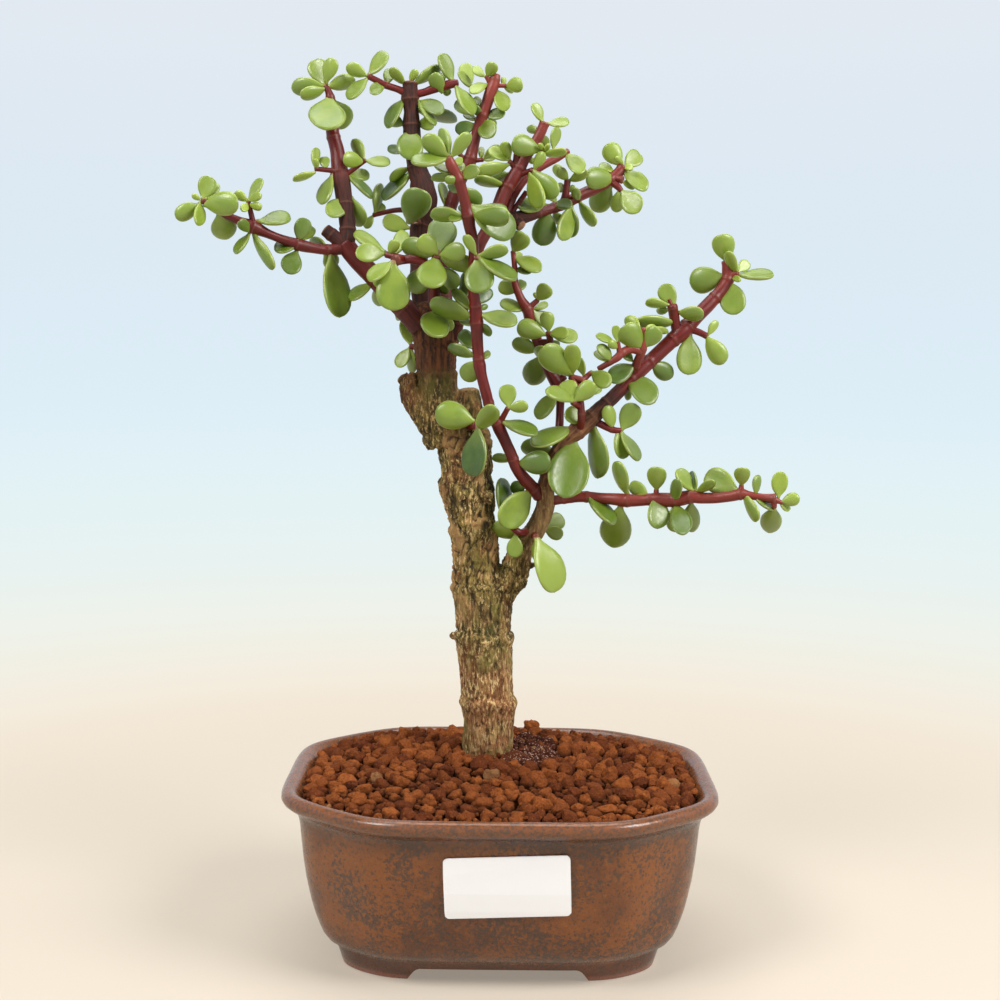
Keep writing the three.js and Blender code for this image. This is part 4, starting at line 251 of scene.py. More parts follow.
"low_branch": ("""
16.5 151.3 14 1.9, 20 151.8 13 1.7, 24 152.4 12 1.8, 28 153 11 2, 35 152.6 10 1.9,
40.5 152.2 8.5 2.2, 43.5 151.9 8 2.4, 49 151.9 7 2, 54 152.5 6 2.2, 60 152.2 5 2.6,
66.5 153.4 3 2.4, 70 153 2.5 2, 75 153.1 1.5 1.95, 80 153.7 0 1.9, 83.6 154.5 -1 2.1,
86.5 154.1 -1.5 1.5, 91 153.4 -2 1.4, 95.4 153 -3 1.8; 54.2 153 6 1.1, 54.3 155.9 6 0.8;
83.6 155 -1 1.2, 83.8 157.8 -1 0.8; 95 152.8 -3 1.2, 98.1 151.6 -3 0.7; 95.2 152.5 -3 1.2,
95.5 149.8 -3 0.8""", """
44.4 154 39.4 165.2 4.8 -2, 51.5 153.6 45.1 157.4 5.2 5, 54.3 155.6 54.4 163.6 6.9 0,
54.4 153.8 55 142 7.7 -5, 61 150.7 60.6 159.3 4.2 -5, 61 150.9 64.5 140 7.4 -4,
60.8 151 61 140.9 4.6 3, 66.5 151.7 67 141 6.6 3, 67.2 155.2 61 162.7 4.6 -2,
67.8 155.5 66.7 162.4 2.5 4, 67.9 155.2 74.8 158.1 3.5 -3, 82.5 155.8 71.2 161.1 9 4,
83.8 157.6 84.1 163.4 5.8 0, 85 155 88.9 144.7 3.3 -4, 88.7 154.2 89.8 161.3 2.8 1,
88.4 153.9 95.7 148.8 2.9 -3, 95.4 150.2 93.8 140.8 7.8 1, 96.8 153.4 97.2 162.5 6 1,
97.7 152 104.2 153.3 4.9 -1, 97.5 151.6 100.5 148.8 2.3 2, 42 150 39.4 135 11.1 3,
30.2 154.2 39.8 143.2 4.8 -4"""),
"shoot_front": ("""
-14 177.3 15 1.6, -9.6 177.3 4.5 1.4, -8.6 177.2 0.5 1.3""", """
-9 178.6 -22.6 182.2 9.9 -1, -9.2 176.2 -1.2 182.9 6.8 -7, -8 176.6 -8.8 159.6 8.8 -1"""),
"shoot_left": ("""
-26 204 20 1.3, -31.4 204.3 21 1""", """
-31.3 204.8 -32.9 214 6 2, -31.6 204 -35.7 197.1 4.7 -1, -31 203.8 -31 195 3.4 4"""),
"shoot_top": ("""
-19 212.5 15 1.5, -19.4 215.8 5.5 1.2""", """
-19.8 216.8 -25.4 208 10.7 -1, -18.7 215.2 -18.2 209.6 4.2 0"""),
"shoot_fork_left": ("""
10.5 140.4 14 1.4, 6.5 140.4 8.5 1.2, 3.3 143 9.5 0.9""", """
8.4 140 -2.8 141.8 6.6 -3, 5.5 139.6 5.2 131.4 5.8 0, 2.9 143.3 0 159.2 5.3 2"""),
"shoot_fork_front": ("""
12 139.5 13 1.4, 12.7 138.6 7 1.2""", """
12.9 138.4 19.4 119.2 10.4 -1, 12.6 137.6 13 130.4 3.8 3"""),
"shoot_fork_back": ("""
13 140.8 16 1.4, 15.4 141.5 21.5 1.1""", """
15.7 141.8 22 145.7 6.5 1, 15.6 141.2 22.1 139.4 4.9 0"""),
}
LIMBS = {name: limbs(text) for name, (text, _) in PLANT.items()}
# how woody each limb is, from its start to its end: 0 smooth red skin, 1 grey-brown bark, 1.4 dry husk
WOOD = {
    "left_branch": {0: (0.6, 0.45, 0.3, 0.25), 1: (0.6, 0.8), 2: (0.25, 0.1, 0, 0, 0),
                    3: (0.8, 0.8, 0.85, 0.75, 0.2, 0, 0, 0, 0)},
    "leader": {0: (0.95, 0.9, 0.85, 0.85, 0.8, 0.8, 0.85, 0.85), 3: (0.9, 1)},
    "back_stem": {0: (0.7, 0.45, 0.25, 0.1, 0.1)},
    "right_leader": {0: (0.7, 0.5, 0.35, 0.2, 0.2, 0.2), 1: (0.3, 0.2)},
    "back_right_branch": {0: (0.95, 0.9, 0.45, 0.15, 0, 0, 0), 1: (1, 1)},
    "front_stem": {0: (0.4, 0.1, 0, 0, 0, 0, 0, 0)},
    "right_branch": {0: (1.5, 1.4, 1.3, 1.1, 0.3, 0.05, 0, 0, 0, 0)},
    "low_branch": {0: (0.6, 0.1, 0, 0, 0, 0)},
}
# between which heights each stem turns from dark to pink, and which limbs end in a pale cut
PINK_Z = {"low_branch": (110, 190), "front_stem": (246, 270), "right_branch": (222, 240),
          "back_stem": (262, 296), "right_back_stem": (200, 236), "right_inner_stem": (196, 206),
          "right_leader": (264, 286), "right_front_stem": (186, 198), "back_right_branch": (256, 276)}
NEVER_PINK = (900, 901)
CUT_ENDS = [("leader", 0), ("back_stem", 0), ("right_leader", 0), ("left_branch", 1),
            ("back_right_branch", 1)]
FRESH = {"shoot_fork_front": 0.6}
seed = 4711


def rnd():
    """The next random number from 0 to 1."""
    global seed
    seed = (seed * 16807) % 2147483647
    return seed / 2147483647


def depth_scale(y):
    return (y - FAN_Y) / (PLANE_Y - FAN_Y)


def place(x, z, y):
    """Layout coordinates to millimetres in the part's frame, for numbers or arrays."""
    x, z, y = np.broadcast_arrays(np.asarray(x, float), np.asarray(z, float), np.asarray(y, float))
    k = depth_scale(y)
    return np.stack([x * k, y, FAN_Z + (z - FAN_Z) * k], -1) + SHIFT


def unit(v):
    return v / np.maximum(np.linalg.norm(v, axis=-1, keepdims=True), 1e-9)


def turns(count, start=0.0):
    """Angles of count points spread evenly round a circle."""
    return (np.arange(count) + start) / count * 2 * math.pi


def ramp(value, start, width):
    """0 below start, 1 from start + width on, and even between."""
    return np.clip((value - start) / width, 0, 1)


def hump(value, width):
    return np.exp(-(value / width) ** 2)


# ---- noise
def lattice(i, salt):
    h = (i @ np.array([374761393, 668265263, 2147483647]) + salt * 974711) & 0xFFFFFFFF
    h = ((h ^ (h >> 13)) * 1274126177) & 0xFFFFFFFF
    h = ((h ^ (h >> 16)) * 1103515245) & 0xFFFFFFFF
    return (h & 0xFFFF) / 32767.5 - 1.0


def noise3(p, salt=0):
    """Smooth value noise from -1 to 1 at points p."""
    cell = np.floor(p).astype(np.int64)
    f = p - cell
    f = f * f * (3 - 2 * f)
    total = 0.0
    for corner in np.ndindex(2, 2, 2):
        a, b, c = (f[..., k] if corner[k] else 1 - f[..., k] for k in range(3))
        total = total + a * b * c * lattice(cell + np.array(corner), salt)
    return total


def fbm(p, octaves, salt=0):
    return sum(noise3(p * 2.03 ** k, salt + k) * 0.5 ** k for k in range(octaves))


# ---- meshes
def write_attributes(mesh, attributes):
    for key, values in attributes.items():
        values = np.asarray(values, np.float32)
        kind, slot = ("FLOAT", "value") if values.ndim == 1 else ("FLOAT_VECTOR", "vector")
        mesh.attributes.new(key, kind, "POINT").data.foreach_set(slot, values.ravel())


def make(name, verts, faces, material, attributes=None, smooth=True):
    """A mesh object from points in millimetres."""
    mesh = bpy.data.meshes.new(name)
    mesh.from_pydata((np.asarray(verts) * MM).tolist(), [], [list(map(int, f)) for f in faces])
    write_attributes(mesh, attributes or {})
    mesh.validate()
    mesh.shade_smooth() if smooth else mesh.shade_flat()
    mesh.materials.append(material)
    return add_object(name, mesh)


def add_object(name, data):
    obj = bpy.data.objects.new(name, data)
    bpy.context.scene.collection.objects.link(obj)
    return obj


class Gather:
    """Blocks of points and faces, with values for each point, that become one mesh."""

    def __init__(self):
        self.verts, self.faces, self.count, self.columns = [], [], 0, {}

    def add(self, verts, faces, **columns):
        self.faces += [[p + self.count for p in f] for f in faces]
        self.verts.append(verts)
        self.count += len(verts)
        for key, values in columns.items():
            values = np.full(len(verts), values) if np.ndim(values) == 0 else values
            self.columns.setdefault(key, []).append(values)

    def make(self, name, material, shift=0.0):
        columns = {key: np.concatenate(values) for key, values in self.columns.items()}
        return make(name, np.vstack(self.verts) + shift, self.faces, material, columns)


def ring_faces(rings, count, caps=True):
    """Quads between rings of count points, with a fan at each end round two added points."""
    j = np.arange(count)
    k = (j + 1) % count
    faces = []
    for a in range(0, (rings - 1) * count, count):
        faces += np.stack([a + j, a + k, a + count + k, a + count + j], 1).tolist()
    if caps:
        first, last = rings * count, (rings - 1) * count
        faces += [[first, q, p] for p, q in zip(j, k)]
        faces += [[first + 1, p, q] for p, q in zip(last + j, last + k)]
    return faces


def closed(name, rings, first, last, material):
    """A closed solid from rings of points, with its two end points."""
    return make(name, np.vstack([*rings, first, last]), ring_faces(len(rings), len(rings[0])), material)


def limb_path(limb, step):
    """Points with a radius along a smooth curve through a limb's rows, about step apart."""
    points = np.array([[*place(x, z, y), r * depth_scale(y)] for x, z, y, r in limb])
    ext = np.vstack([2 * points[0] - points[1], points, 2 * points[-1] - points[-2]])
    out = []
    for p0, p1, p2, p3 in zip(ext, ext[1:], ext[2:], ext[3:]):
        n = max(1, int(round(np.linalg.norm((p2 - p1)[:3]) / step)))
        for t in np.arange(n) / n:
            out.append(0.5 * (2 * p1 + (p2 - p0) * t + (2 * p0 - 5 * p1 + 4 * p2 - p3) * t * t
                              + (3 * p1 - p0 - 3 * p2 + p3) * t ** 3))
    return np.array(out + [points[-1]])


def run_along(path):
    """How far along the path each of its points lies."""
    return np.concatenate([[0], np.cumsum(np.linalg.norm(np.diff(path[:, :3], axis=0), axis=1))])


def frames(centres):
    """The path's direction and two directions across it, at each of its points."""
    tangent = unit(np.gradient(centres, axis=0))
    side = np.array([0.0, 1.0, 0.0]) if abs(tangent[0][1]) < 0.8 else np.array([1.0, 0, 0])
    sides = []
    for t in tangent:
        side = unit(side - t * np.dot(side, t))
        sides.append(side)
    return tangent, np.array(sides), np.cross(tangent, sides)


def tube(path, sides, shape=None):
    """A round stem along a path: vertices, faces, run along it and grain coordinates."""
    tangent, one, two = frames(path[:, :3])
    run = run_along(path)
    c, s = np.cos(turns(sides))[None, :, None], np.sin(turns(sides))[None, :, None]
    ring = one[:, None] * c + two[:, None] * s
    radius = np.repeat(np.maximum(path[:, 3], 0.3)[:, None], sides, 1)
    grain = np.stack([radius * c[..., 0], radius * s[..., 0], np.repeat(run[:, None], sides, 1)], -1)
    if shape is not None:
        radius = radius + shape(run, grain)
    verts = path[:, None, :3] + ring * radius[..., None]
    end, thick = path[-1, :3], radius[-1][:, None]
    dome = []
    for turn in (0.35, 0.75):
        lift = math.sin(turn * math.pi / 2) * path[-1, 3] * 0.3
        dome.append(end + tangent[-1] * lift + ring[-1] * thick * math.cos(turn * math.pi / 2) ** 0.7)
    verts = np.concatenate([verts, np.array(dome)])
    grain = np.concatenate([grain, grain[-1:], grain[-1:]])
    flat = np.vstack([verts.reshape(-1, 3), path[0, :3], end + tangent[-1] * path[-1, 3] * 0.32])
    grain = np.vstack([grain.reshape(-1, 3), grain[0, 0], grain[-1, 0]])
    run = np.concatenate([np.repeat(np.append(run, [run[-1], run[-1]]), sides), [0, run[-1]]])
    return flat, ring_faces(len(verts), sides), run, grain


def read(items, key, dtype=float):
    """One property of all of a mesh's items, three numbers each."""
    values = np.zeros(len(items) * 3, dtype)
    items.foreach_get(key, values)
    return values.reshape(-1, 3)


def fix_outside(obj):
    """Turns every face outward."""
    mesh = obj.data
    mesh.calc_loop_triangles()
    co = read(mesh.vertices, "co")
    a, b, c = (co[k] for k in read(mesh.loop_triangles, "vertices", np.int32).T)
    if np.einsum("ij,ij->i", a, np.cross(b, c)).sum() < 0:
        mesh.flip_normals()


def keep_shape(obj):
    """Makes the modifiers' result the object's own mesh."""
    made = bpy.data.meshes.new_from_object(obj.evaluated_get(bpy.context.evaluated_depsgraph_get()))
    old = obj.data
    obj.modifiers.clear()
    obj.data = made
    made.name = old.name
    bpy.data.meshes.remove(old)


# ---- pot
def plan_radius(angle, a, b, cut=CORNER_CUT):
    cx, cy = np.abs(np.cos(angle)) / a, np.abs(np.sin(angle)) / b
    p = CORNER_SOFTNESS
    return (cx ** p + cy ** p + ((cx + cy) / cut) ** p) ** (-1 / p)


def plan_ring(a, b, z, count):
    cut = FOOT_CUT + (CORNER_CUT - FOOT_CUT) * min(max(z / FOOT_CUT_HEIGHT, 0), 1)
    angle = turns(count, 0.5)
    r = plan_radius(angle, a, b, cut)
    return np.stack([POT_X + r * np.cos(angle), r * np.sin(angle), np.full(count, float(z))], 1) + SHIFT


# height, half width and half depth, up the outside and down the inside
POT_RINGS = table("""
0 51.9 34.7, 0.5 52.6 35.4, 4 53.6 37.6, 7.2 54.7 39.4, 8.2 55.1 40.1, 8.9 56.2 41.5, 9.7 57.6 43,
12 59.2 45, 15 60.5 46.7, 18 61.6 48.2, 21 62.6 49.4, 24 63.4 50.3, 30 64.6 51.6, 36 65.4 52.5,
42 66 53.1, 48 66.5 53.5, 50.4 66.9 53.85, 51.9 67.4 54.3, 53.1 68.2 55.05, 54.1 69.3 56.05,
55 70.6 57.15, 56 71.7 58.05, 57.3 72.4 58.65, 58.6 72.3 58.55, 59.4 71.7 58, 59.9 70.9 57.3,
60.1 70 56.5, 59.9 69 55.4, 59.3 67.9 54.3, 57.6 66.6 53.2, 55.3 65 51.7, 53 63.6 50.4,
42 62 48.9, 30 60 46.9, 20 55.5 42.6, 11.5 46.5 33.5""", 3)
POT_FLOOR_TOP, FOOT_HOLLOW, DRAIN_X, DRAIN_R, DRAIN_SIDES = 11.5, (40.6, 23.4), 24, 6, 32
# the edge of the way between two feet: added half width, and height (from the ground)
ARCH = [(4.1, -1), (3.0, 1), (2.0, 2.7), (1.2, 3.9), (0.4, 4.6), (-0.6, FOOT_HEIGHT)]


def build_pot(material):
    rings = []
    for z, a, b in POT_RINGS:
        row = plan_ring(a, b, z, POT_SIDES)
        wave = 0.16 * noise3((row - SHIFT) * [0.035, 0.035, 0.05] + 3.1, 120)
        rings.append(row + unit((row - SHIFT) * [1, 1, 0]) * (wave * min(1.0, row[0, 2] / 8))[:, None])
    middle = SHIFT + [POT_X, 0, 0]
    pot = closed("pot_glazed", rings, middle, middle + [0, 0, POT_FLOOR_TOP], material)
    cutters = []

    def cutter(rings, first, last):
        cutters.append(closed(f"cutter_{len(cutters)}", [ring + middle for ring in rings],
                              middle + first, middle + last, material))

    for top, reach, order in ((26, 80, [1, 0, 2]), (14, 90, [0, 1, 2])):
        right = [(top + more, z) for more, z in ARCH]
        outline = [(-u, z) for u, z in right] + right[::-1]
        sides = (-reach, reach)
        # the order says whether the way runs front to back or side to side
        cutter([np.array([(side, u, z) for u, z in outline], float)[:, order] for side in sides],
               *(np.array([side, 0, 2])[order] for side in sides))
    cutter([plan_ring(*FOOT_HOLLOW, z, ROUND) - middle for z in (-3, FOOT_HEIGHT)],
           [0, 0, -3], [0, 0, FOOT_HEIGHT])
    t = turns(DRAIN_SIDES)
    for x in (-DRAIN_X, DRAIN_X):
        circle = np.stack([x + DRAIN_R * np.cos(t), DRAIN_R * np.sin(t), t * 0], 1)
        cutter([circle + [0, 0, z] for z in (-2, 15.5)], [x, 0, -2], [x, 0, 15.5])
    for piece in cutters + [pot]:
        fix_outside(piece)
    for cut in cutters:
        mod = pot.modifiers.new(cut.name, "BOOLEAN")
        mod.operation, mod.solver, mod.object = "DIFFERENCE", "EXACT", cut
    keep_shape(pot)
    for cut in cutters:
        bpy.data.objects.remove(cut)
    pot.data.set_sharp_from_angle(angle=math.radians(POT_SHARP))
    return pot


# ---- trunk
# ring scars: height, half width and how far they stand out
RING_SCARS = table("""80 1.6 0.5, 103.5 1.5 0.65, 121 1.4 0.4, 140.5 1.5 0.5, 157 1.5 0.5, 171 1.4 0.5,
194.5 0.8 0.35, 199.5 0.5 0.12, 204.3 0.8 0.35, 209.5 0.6 0.15""", 3)


def build_trunk(material):
    path = limb_path(TRUNK, TRUNK_STEP)
    angle = turns(TRUNK_SIDES)
    circle = np.stack([np.cos(angle), np.sin(angle) * 0.97, np.zeros(TRUNK_SIDES)], 1)
    column = path[:, None, :3] + circle[None] * path[:, None, 3:4]
    wood = Gather()
    wood.add(np.vstack([column.reshape(-1, 3), path[0, :3], path[-1, :3] + [0, 0, 0.8]]),
             ring_faces(len(path), TRUNK_SIDES))
    for limb in TRUNK_LIMBS:
        wood.add(*tube(limb_path(limb, STUB_STEP), STUB_SIDES)[:2])
    trunk = wood.make("trunk_bark", material)
    remesh = trunk.modifiers.new("join", "REMESH")
    remesh.mode, remesh.voxel_size = "VOXEL", VOXEL * MM
    blend = trunk.modifiers.new("blend", "SMOOTH")
    blend.factor, blend.iterations = 0.5, 5
    keep_shape(trunk)
    mesh = trunk.data
    p = read(mesh.vertices, "co") * 1000 - SHIFT
    no = read(mesh.vertices, "normal")
    x, z = p[:, 0], p[:, 2]
    smooth = ramp(z, 193, 5)
    young = ramp(x, 4, 7) * ramp(z, 124, 10)
    rugged = ramp(z, 106, 14) * np.clip((187 - z) / 16, 0.25, 1) * (1 - smooth) * (1 - 0.8 * young)
    q = p + np.stack([noise3(p * 0.16, 1), noise3(p * 0.16, 2), noise3(p * 0.13, 3)], 1) * 2.6
    # long fissures between narrow upright strips of bark
    cracks = 1 - np.clip(np.abs(fbm(q * [0.42, 0.42, 0.11] + 7.3, 2, 20)) * 4.2, 0, 1)
    hair = 1 - np.clip(np.abs(fbm(q * [0.95, 0.95, 0.16] + 1.7, 2, 24)) * 3.4, 0, 1)
    # long flakes that stand proud of the bark, with steep edges
    flake = noise3(q * [0.27, 0.27, 0.1] + 4.6, 51) + 0.4 * noise3(q * [0.75, 0.75, 0.3], 52)
    flake = np.clip((flake - 0.02) * 8, 0, 1)
    edge = 4 * flake * (1 - flake)
    lump = fbm(p * [0.3, 0.3, 0.22], 3, 10)
    grain = fbm(p * [1.7, 1.7, 0.3], 2, 30)
    fine = fbm(p * [2.4, 2.4, 1.6], 2, 40)
    low = 0.2 * lump - 0.34 * cracks - 0.16 * hair + 0.1 * grain + 0.05 * fine
    high = 0.4 * lump - 0.5 * cracks - 0.26 * hair + 0.5 * (flake - 0.4) + 0.26 * grain + 0.17 * fine
    top = 0.09 * noise3(p * [2.2, 2.2, 0.1], 60) + 0.03 * fine - 0.1 * hair
    relief = (low * (1 - rugged) + high * rugged) * (1 - smooth) * (1 - 0.45 * young) + top * smooth
    for z0, wide, tall in RING_SCARS:
        wave = (z0 + 1.2 * noise3(p * [0.2, 0.2, 0.0] + z0, 70)
                + 0.5 * noise3(p * [0.7, 0.7, 0.0] + z0, 71))
        keep = 1 - 0.85 * young
        relief = relief + keep * tall * hump(z - wave, wide)
        relief = relief - keep * 1.1 * tall * hump(z - wave - 1.5 * wide, 0.5 * wide)
    stub = np.exp(-(((x + 32) / 4.5) ** 2 + ((z - 193) / 4) ** 2))
    relief = relief + stub * (1.1 * noise3(p * [0.8, 0.8, 0.4], 80) + 0.4 * fine)
    flat_top = (np.abs(x + 11.3) < 5.2) & (z > 188.4) & (z < 193)
    relief = np.where(flat_top, relief * 0.3, relief)
    p = p + no * relief[:, None] * 0.95
    mesh.vertices.foreach_set("co", ((p + SHIFT) * MM).ravel())
    write_attributes(mesh, {
        "smooth": smooth, "young": young, "cut": flat_top & (no[:, 2] > 0.55),
        "crack": np.clip(cracks * (0.5 + 0.5 * rugged) + 0.5 * edge * rugged, 0, 1),
        "torn": rugged * flake * np.clip(noise3(q * [0.14, 0.14, 0.08], 54) * 3 + 0.2, 0, 1)})
    mesh.update()
    mesh.shade_smooth()
    return trunk


# ---- leaves
def nearest(limb, x, z):
    """How far the limb is from each place x, z, and its x, z, depth and radius where it is nearest."""
    best, at = np.full(np.shape(x), 1e9), np.zeros((4, *np.shape(x)))
    for p, q in zip(limb, limb[1:]):
        dx, dz = q[0] - p[0], q[1] - p[1]
        t = np.clip(((x - p[0]) * dx + (z - p[1]) * dz) / max(dx * dx + dz * dz, 1e-9), 0, 1)
        away = np.hypot(x - p[0] - dx * t, z - p[1] - dz * t)
        nearer = away < best
        best = np.where(nearer, away, best)
        at = np.where(nearer, [a + (b - a) * t for a, b in zip(p, q)], at)
    return best, at


def make_leaf(row, branch):
    bx, bz, tx, tz, w, dy = row
    root = min((nearest(limb, bx, bz) for limb in LIMBS[branch]), key=lambda found: found[0])[1]
    flat = math.hypot(tx - bx, tz - bz)
    size = math.hypot(flat, dy)
    if w > 0.8 * size:
        size = w / 0.74
        dy = (1 if dy > 0 else -1) * math.sqrt(max(size * size - flat * flat, dy * dy))
    wide = max(w, LEAF_SHAPE * size)
    turn = -1 if rnd() < 0.5 else 1
    slope = turn * min(math.sqrt(max(wide * wide / (w * w) - 1, 0)), 2.1)
    return {"branch": branch, "bx": bx, "bz": bz, "w": w, "dy": dy, "slope": slope, "root": root,
            "flat": flat, "ax": (tx - bx) / flat, "az": (tz - bz) / flat, "size": size}


# half the width of a leaf of width 1 along its length, for the test of which leaves overlap
HALF_U, HALF_H = [0, 0.3, 0.62, 0.9, 1], [0.1, 0.34, 0.5, 0.36, 0]


def spread(leaves):
    """Bends leaves that lie over each other or over a stem apart in depth."""
    n = len(leaves)
    keys = ("bx", "bz", "w", "ax", "az", "flat", "slope", "dy")
    bx, bz, w, ax, az, flat, slope, dy = (np.array([leaf[key] for leaf in leaves]) for key in keys)
    start = dy.copy()
    root = np.array([leaf["root"][:3] for leaf in leaves])
    samples = [(u, s) for u in (0.3, 0.5, 0.7, 0.85, 1) for s in (-0.9, 0, 0.9) if u < 1 or s == 0]
    pu = np.array([u for u, _ in samples])
    v = np.array([s * np.interp(u, HALF_U, HALF_H) for u, s in samples]) * w[:, None]
    x = bx[:, None] + (ax * flat)[:, None] * pu - az[:, None] * v
    z = bz[:, None] + (az * flat)[:, None] * pu + ax[:, None] * v
    pairs = []
    for j in range(n):
        px, pz = x - bx[j], z - bz[j]
        u2 = (px * ax[j] + pz * az[j]) / flat[j]
        v2 = pz * ax[j] - px * az[j]
        near = np.hypot(root[:, 0] - root[j, 0], root[:, 1] - root[j, 1]) < 4.5
        inside = (u2 > 0.08) & (u2 < 1) & (np.abs(v2) < np.interp(u2, HALF_U, HALF_H) * w[j] + 0.3)
        inside &= ~(near[:, None] & ((pu[None] < 0.45) | (u2 < 0.45)))
        inside[j] = False
        pairs += [(i, j, pu[s], v[i, s], u2[i, s], v2[i, s]) for i, s in zip(*np.nonzero(inside))]
    pairs = np.array(pairs)
    pi, pj = pairs[:, 0].astype(int), pairs[:, 1].astype(int)

    def gaps():
        one = root[pi, 2] + dy[pi] * pairs[:, 2] + slope[pi] * pairs[:, 3]
        two = root[pj, 2] + dy[pj] * pairs[:, 4] + slope[pj] * pairs[:, 5]
        return one - two

    key = np.minimum(pi, pj) * n + np.maximum(pi, pj)
    order = np.where(pi < pj, 1, -1)
    total = np.zeros(n * n)
    np.add.at(total, key, order * gaps())
    sign = np.where(total[key] >= 0, order, -order)
    stems = []
    for name in LIMBS:
        for limb in LIMBS[name]:
            best, (_, _, depth, radius) = nearest(limb, x.ravel(), z.ravel())
            for s in np.nonzero(best < radius + 0.4)[0]:
                i, k = divmod(int(s), len(samples))
                if not (leaves[i]["branch"] == name and pu[k] < 0.55):
                    stems.append((i, pu[k], v[i, k], depth[s], radius[s]))
    stems = np.array(stems)
    si = stems[:, 0].astype(int)

    def stem_gap():
        return root[si, 2] + dy[si] * stems[:, 1] + slope[si] * stems[:, 2] - stems[:, 3]

    # a leaf passes a stem on the side where most of it already lies
    spots = [(i, math.floor(y / 3 + 0.5)) for i, y in zip(si, stems[:, 3])]
    group = dict.fromkeys(spots, 0)
    for spot, gap in zip(spots, stem_gap()):
        group[spot] += gap
    stem_sign = np.array([1 if group[spot] >= 0 else -1 for spot in spots])
    for _ in range(40):
        push, count = np.zeros(n), np.zeros(n)
        short = LEAF_GAP - sign * gaps()
        hit = short > 0
        for who, side, lever in ((pi, sign, pairs[:, 2]), (pj, -sign, pairs[:, 4])):
            np.add.at(push, who[hit], (side * short * 0.5 / np.maximum(lever, 0.4))[hit])
            np.add.at(count, who[hit], 1)
        short = stems[:, 4] + STEM_GAP - stem_sign * stem_gap()
        hit = short > 0
        np.add.at(push, si[hit], (stem_sign * short / np.maximum(stems[:, 1], 0.4))[hit])
        np.add.at(count, si[hit], 1)
        moved = dy + np.where(count > 0, push / np.maximum(count, 1) * 0.8, 0)
        dy = np.clip(moved, start - SHIFT_LIMIT, start + SHIFT_LIMIT)
    for leaf, value in zip(leaves, dy):
        leaf["dy"] = float(value)


# a leaf's share along, half width and thickness, from its neck to its tip
OUT_U, OUT_H, OUT_T = table("""0 0.09 0.66, 0.05 0.105 0.66, 0.1 0.145 0.7, 0.2 0.265 0.8,
0.3 0.37 0.9, 0.42 0.45 0.98, 0.54 0.492 1, 0.64 0.5 0.98, 0.75 0.478 0.92, 0.84 0.422 0.84,
0.91 0.34 0.72, 0.96 0.238 0.56, 0.985 0.15 0.38, 1 0.03 0.1""", 3).T


def leaf_mesh(leaf, index):
    """Vertices, faces and attributes of one fleshy leaf, from its root inside the stem to its tip."""
    ax, az, flat, size = leaf["ax"], leaf["az"], leaf["flat"], leaf["size"]
    root_x, root_z, root_y = leaf["root"][:3]
    chance = noise3(np.array([[index * 0.731 + 0.5, k * 3.7 + 0.5, 0.5] for k in range(6)]), 5)
    u = OUT_U
    h = OUT_H * leaf["w"] * (1 + 0.06 * chance[0] * np.sin(u * math.pi * 2))
    cx, cz, cy = leaf["bx"] + ax * flat * u, leaf["bz"] + az * flat * u, root_y + leaf["dy"] * u
    centre = place(cx, cz, cy)
    side = place(cx - az * h, cz + ax * h, cy + leaf["slope"] * h) - centre
    tangent = unit(np.gradient(centre, axis=0))
    normal = unit(np.cross(tangent, unit(side)))
    thick = OUT_T * (LEAF_THICK / 2) * min(max(size / 12, 0.62), 1.15)
    up = -1 if normal[:, 2].mean() < 0 else 1
    # the blade bows along its length and its sides lift, more on some leaves than on others
    bow = size * (0.075 + 0.05 * chance[1]) * up
    bend = bow * (-2 * u + 2.6 * u * u - 0.3 * u ** 4) * (1 if chance[4] > -0.45 else -0.7)
    lean = 0.1 * chance[5] * size * u * u
    c, s = np.cos(turns(LEAF_SIDES)), np.sin(turns(LEAF_SIDES))
    across = np.sign(c) * np.abs(c) ** 0.92
    thickness = np.sign(s) * np.abs(s) ** 0.8
    wide = np.linalg.norm(side, axis=1)
    cup = (0.24 + 0.16 * chance[2]) * up * wide * np.minimum(u * 2.5, 1)
    twist = 0.16 * chance[3] * wide * u
    lift = ((bend + lean * 0.4)[:, None] + cup[:, None] * (0.7 * across ** 2 + 0.3 * np.abs(across))
            + twist[:, None] * across + thick[:, None] * thickness)
    verts = centre[:, None] + side[:, None] * across[None, :, None] + normal[:, None] * lift[..., None]
    start = place(root_x, root_z, root_y)
    toward = unit(centre[0] - start) if np.linalg.norm(centre[0] - start) > 0.3 else tangent[0]
    neck = start + (verts[0] - centre[0]) * 0.7 - toward * 0.2
    verts = np.concatenate([neck[None], verts])
    flat_verts = np.vstack([verts.reshape(-1, 3), start, verts[-1].mean(0) + tangent[-1] * 0.12])
    rings = len(verts)
    return flat_verts, ring_faces(rings, LEAF_SIDES), {
        "along": np.append(np.repeat([-0.05, *u], LEAF_SIDES), [-0.05, 1.03]),
        "rim": np.append(np.tile(np.abs(c) ** 3, rings), [0, 1]),
        "upper": np.append(np.tile(thickness * up, rings), [0, 0])}


def fresh_share(leaf):
    """Fresh tip leaves are smaller and more yellow."""
    x, z = leaf["root"][:2]
    near_tip = min(math.hypot(x - limb[-1][0], z - limb[-1][1]) for limb in LIMBS[leaf["branch"]])
    return max(0.0, 1 - near_tip / 9) * max(0.0, 1 - leaf["size"] / 16)


# ---- materials
def colour(r, g, b):
    """A display colour, 0 to 255, as scene-linear."""
    def linear(c):
        c /= 255
        return c / 12.92 if c <= 0.04045 else ((c + 0.055) / 1.055) ** 2.4
    return (linear(r), linear(g), linear(b), 1.0)


